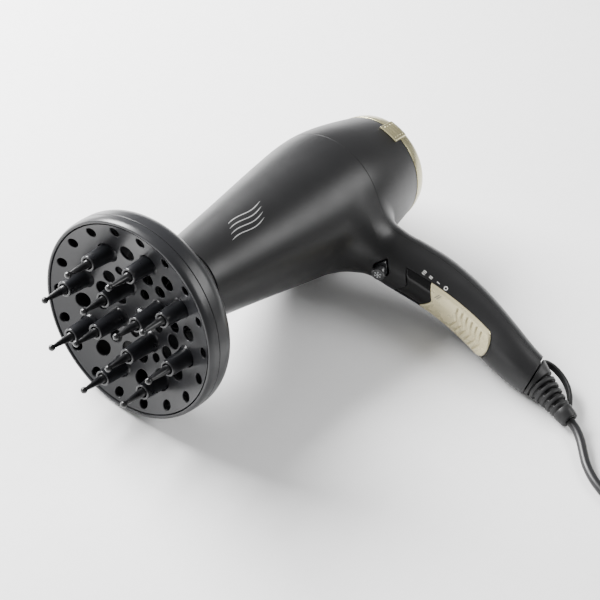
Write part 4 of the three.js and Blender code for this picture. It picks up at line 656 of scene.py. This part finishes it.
# ------------------------------------------------------------------ cord and plug (same route as the CAD part, row frame, mm)
CR, FL, TOP, CO, PITCH = 3.0, 3.08, 9.3, (91.0, -217.0), 6.3
def reliefAt(s): return (np.array([2.5 - 0.24 * s, 0, -183.2 - 0.966 * s]) @ M.T + OFF)
def mix(p0, m0, p1, m1, n):
    t = np.linspace(0, 1, n + 1)[:, None]; p0, m0, p1, m1 = (np.array(v, float) for v in (p0, m0, p1, m1))
    return (2 * t ** 3 - 3 * t ** 2 + 1) * p0 + (t ** 3 - 2 * t ** 2 + t) * m0 + (3 * t ** 2 - 2 * t ** 3) * p1 + (t ** 3 - t ** 2) * m1
first = [reliefAt(36), reliefAt(39), [67.6, -147.9, 5.2], [63.0, -154.3, 4.0], [56.6, -160.6, 3.25], [50.0, -167.0, FL], [44.0, -174.8, FL], [39.4, -183.6, FL], [36.3, -193.2, FL]]
A0, R0, DOWN, CLIMB, UP = 202.0, 46.4, 3.5, 0.3, 3.5137
def turnAt(t):
    r, z = R0 - PITCH * t, FL
    if t >= DOWN + CLIMB: r, z = R0 - PITCH * DOWN + PITCH * (t - DOWN - CLIMB), TOP
    elif t >= DOWN:
        u = (t - DOWN) / CLIMB; r, z = R0 - PITCH * DOWN, FL + (TOP - FL) * u * u * (3 - 2 * u)
    a = math.radians(A0) + 2 * math.pi * t
    return [CO[0] + r * math.cos(a), CO[1] + r * math.sin(a), z], a, r
k0, a0, _ = turnAt(0); k1, a1, r1 = turnAt(DOWN + CLIMB + UP)
apl = math.hypot(k0[0] - 36.3, k0[1] + 193.2)
approach = mix(first[8], [-0.25 * apl, -0.968 * apl, 0], k0, [-math.sin(a0) * apl, math.cos(a0) * apl, 0], 4)
head = np.array([-math.sin(a1), math.cos(a1), 0.0])
entry = np.array([k1[0] + head[0] * 38 + math.cos(a1) * 5, k1[1] + head[1] * 38 + math.sin(a1) * 5, 8.1])
tail = mix(k1, head * 38, entry, head * 38, 4)
nt_ = DOWN + CLIMB + UP; turns = [turnAt(t)[0] for t in np.linspace(0, nt_, int(nt_ * 20))]
pts = np.array([list(p) for p in first] + list(approach[1:-1].tolist()) + turns + tail[1:].tolist())
cu = bpy.data.curves.new("mains_cord", "CURVE"); cu.dimensions = "3D"; cu.bevel_depth = CR / 1000; cu.bevel_resolution = 6; cu.use_fill_caps = True
cu.resolution_u = 6; sp = cu.splines.new("NURBS"); sp.points.add(len(pts) - 1)
dense = cat(pts, 3)
cu.splines.remove(sp); sp = cu.splines.new("POLY"); sp.points.add(len(dense) - 1)
for i, p in enumerate(dense): sp.points[i].co = (*(p / 1000), 1)
sp.use_smooth = True
cu.materials.append(CORD)
cord = bpy.data.objects.new("mains_cord", cu); bpy.context.scene.collection.objects.link(cord)
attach(cord, "housing"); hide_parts("cord", "cord_coil", "cord_tail")
side = np.array([-head[1], head[0], 0])
def atPlug(s, v, z): return entry + head * s + side * v + np.array([0, 0, z])
def oval(s, a, bb, n=72, e=.8): return [atPlug(s, a * np.sign(math.cos(t)) * abs(math.cos(t)) ** e, bb * np.sign(math.sin(t)) * abs(math.sin(t)) ** e) for t in np.linspace(0, 2 * math.pi, n, endpoint=False)]
S_ = [(2, 3.4, 3.4, 1), (-2.8, 3.4, 3.4, 1), (-3, 3.7, 3.7, 1), (-3, 4.3, 4.3, 1), (-2.7, 4.6, 4.6, 1)]
for i in range(4):
    s = -1.5 + i * 3.6; q = 4.7 + i * .32; S_ += [(s, q, q * .98, 1), (s + .2, q - .8, q - .8, 1), (s + 1.3, q - .8, q - .8, 1), (s + 1.5, q + .05, q * .98, 1), (s + 3.4, q + .3, q * .98 + .2, 1)]
S_ += [(13.6, 6.1, 5.7, 1), (15.2, 7.8, 6.1, .95), (17, 11.0, 6.9, .88), (19.2, 14.4, 7.5, .84), (22, 16.6, 7.9, .8), (26, 17.0, 8.0, .8), (37, 17.0, 8.0, .8), (38.6, 16.8, 7.9, .8), (39.6, 16.2, 7.4, .8), (40, 15.2, 6.6, .8), (40.0, 6, 2.5, .8), (40.0, 0.1, .05, .8)]
b = Bag(); b.grid(np.array([oval(s, a, bb, e=e) for s, a, bb, e in S_]), cv=True)
add("plug_body_skin", *b.done(), PLUG, "housing", ["plug_body"], "plug_black", 40, local=False).data.transform(Matrix.Scale(0.001, 4))
for nm, v in (("plug_pin_left", -9.5), ("plug_pin_right", 9.5)):
    u = np.array([0, 0, 1.0]); G = []
    for s, r in ((37.5, 2.3), (57.2, 2.3), (58.1, 2.1), (58.5, 1.5), (58.6, .05)): G.append([atPlug(s, v, 0) + r * (side * math.cos(t) + u * math.sin(t)) for t in np.linspace(0, 2 * math.pi, 28, endpoint=False)])
    bb_ = Bag(); bb_.grid(np.array(G), cv=True); o = add(nm + "_skin", *bb_.done(), BRASS, "housing", [nm], "brass", 40, local=False); o.data.transform(Matrix.Scale(0.001, 4))

# ------------------------------------------------------------------ printed marks
def mark(bag, c, shapes, lift=.07, e1=(0, 0, -1.0), seg=1.0):
    n = grad(np.array([c]))[0]; e1 = np.array(e1, float); e1 = e1 - n * (e1 @ n); e1 /= np.linalg.norm(e1); e2 = np.cross(n, e1)
    for strip in shapes:   # strip: list of (centre a, centre b, half width) points along a stroke
        P = np.array([q[:2] for q in strip], float); W = np.array([q[2] for q in strip], float)
        T = np.gradient(P, axis=0) if len(P) > 1 else np.array([[1, 0]]); T /= np.maximum(np.linalg.norm(T, axis=1, keepdims=True), 1e-9); Nn = np.stack([-T[:, 1], T[:, 0]], 1)
        G = np.stack([P + Nn * W[:, None], P - Nn * W[:, None]], 0)
        X = c + G[..., :1] * e1 + G[..., 1:] * e2; bag.grid(onto(X, lift))
def stroke(a, b_, w, n=6): return [(lerp(a[0], b_[0], i / n), lerp(a[1], b_[1], i / n), w) for i in range(n + 1)]
b = Bag()
L_, S2 = 1.15, 1.05
for c, k in (((-5.263, -13.24, -87.617), 3), ((-4.363, -12.947, -92.87), 2), ((-3.366, -12.749, -98.785), 1)):
    c = np.array(c); mark(b, c, [stroke((-L_, (j - (k - 1) / 2) * S2), (L_, (j - (k - 1) / 2) * S2), .21) for j in range(k)])
c = np.array((-2.525, -12.622, -104.772)); mark(b, c, [[(1.12 * math.cos(t), 1.12 * math.sin(t), .22) for t in np.linspace(0, 2 * math.pi, 25)]])
add("speed_marks", *b.done(), PRINT, "housing", [], None, 40)
b = Bag(); c = np.array((-100.17, -32.793, 0.518))
for j in range(4):
    w0 = (j - 1.5) * 3.6; x0, x1 = -17 + 2.5 * j, 13 + 2.5 * j
    mark(b, c, [[(lerp(x0, x1, i / 40), w0 + 1.1 * math.sin(i / 40 * 2 * math.pi + .4), .33 * min(1, i / 6 + .15, (40 - i) / 8 + .15)) for i in range(41)]], e1=(1.0, 0, 0))
add("airflow_marks", *b.done(), PRINT_FAINT, "housing", [], None, 40)
MARK = material("mark_dark", (0.10, 0.10, 0.09), 0.45, grain=(4.0, 0.3), mottle=(0.5, 0.05), tint=0.1)
b = Bag()
for dz in (-0.75, 0.75):
    P = [(-6.75 + 3.4 * t, -104.5 + dz + 1.7 * t) for t in np.linspace(-.5, .5, 9)]
    G = np.array([[arcP(np.array(y), np.array(z - .3), 1.01), arcP(np.array(y), np.array(z + .3), 1.01)] for y, z in P]); b.grid(G.reshape(9, 2, 3))
add("slider_mark", *b.done(), MARK, "speed_control", [], None, 40)

# ------------------------------------------------------------------ stage and light
def pale(name, color, rough):
    m = material(name, color, rough, spec=.25, grain=(.25, .05), mottle=(.004, .04), tint=.01); return m
FLOOR = pale("table_top", (0.97, 0.97, 0.97), 0.7)
me = bpy.data.meshes.new("table"); s = 6.0
me.from_pydata([(-s, -s, 0), (s, -s, 0), (s, s, 0), (-s, s, 0)], [], [(0, 1, 2, 3)]); me.materials.append(FLOOR)
floor = bpy.data.objects.new("table", me); bpy.context.scene.collection.objects.link(floor)
def area(name, loc, target, size, power, color=(1, 1, 1)):
    l = bpy.data.lights.new(name, "AREA"); l.shape = "RECTANGLE"; l.size, l.size_y = size; l.energy = power; l.color = color
    o = bpy.data.objects.new(name, l); bpy.context.scene.collection.objects.link(o); o.location = loc
    o.rotation_euler = (Vector(target) - Vector(loc)).to_track_quat("-Z", "Y").to_euler(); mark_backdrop(o) if False else None
    return o
T0 = (0.0, 0.0, 0.05)
def at(r, u, d, k=1.0):  # position from camera-relative directions: right, up, toward camera
    return tuple(np.array(T0) + cR * r + cU * u + cB * d)
area("key", at(-0.80, 1.00, 0.10), T0, (0.9, 0.5), 92.0)
area("fill", at(1.1, 0.55, 0.3), T0, (0.8, 0.5), 11.0)
area("front", at(-0.9, -0.2, 0.9), T0, (0.6, 0.6), 3.0)
w = bpy.data.worlds.new("studio"); bpy.context.scene.world = w; w.use_nodes = True
bg = w.node_tree.nodes["Background"]; bg.inputs[0].default_value = (1, 1, 1, 1); bg.inputs[1].default_value = 0.38
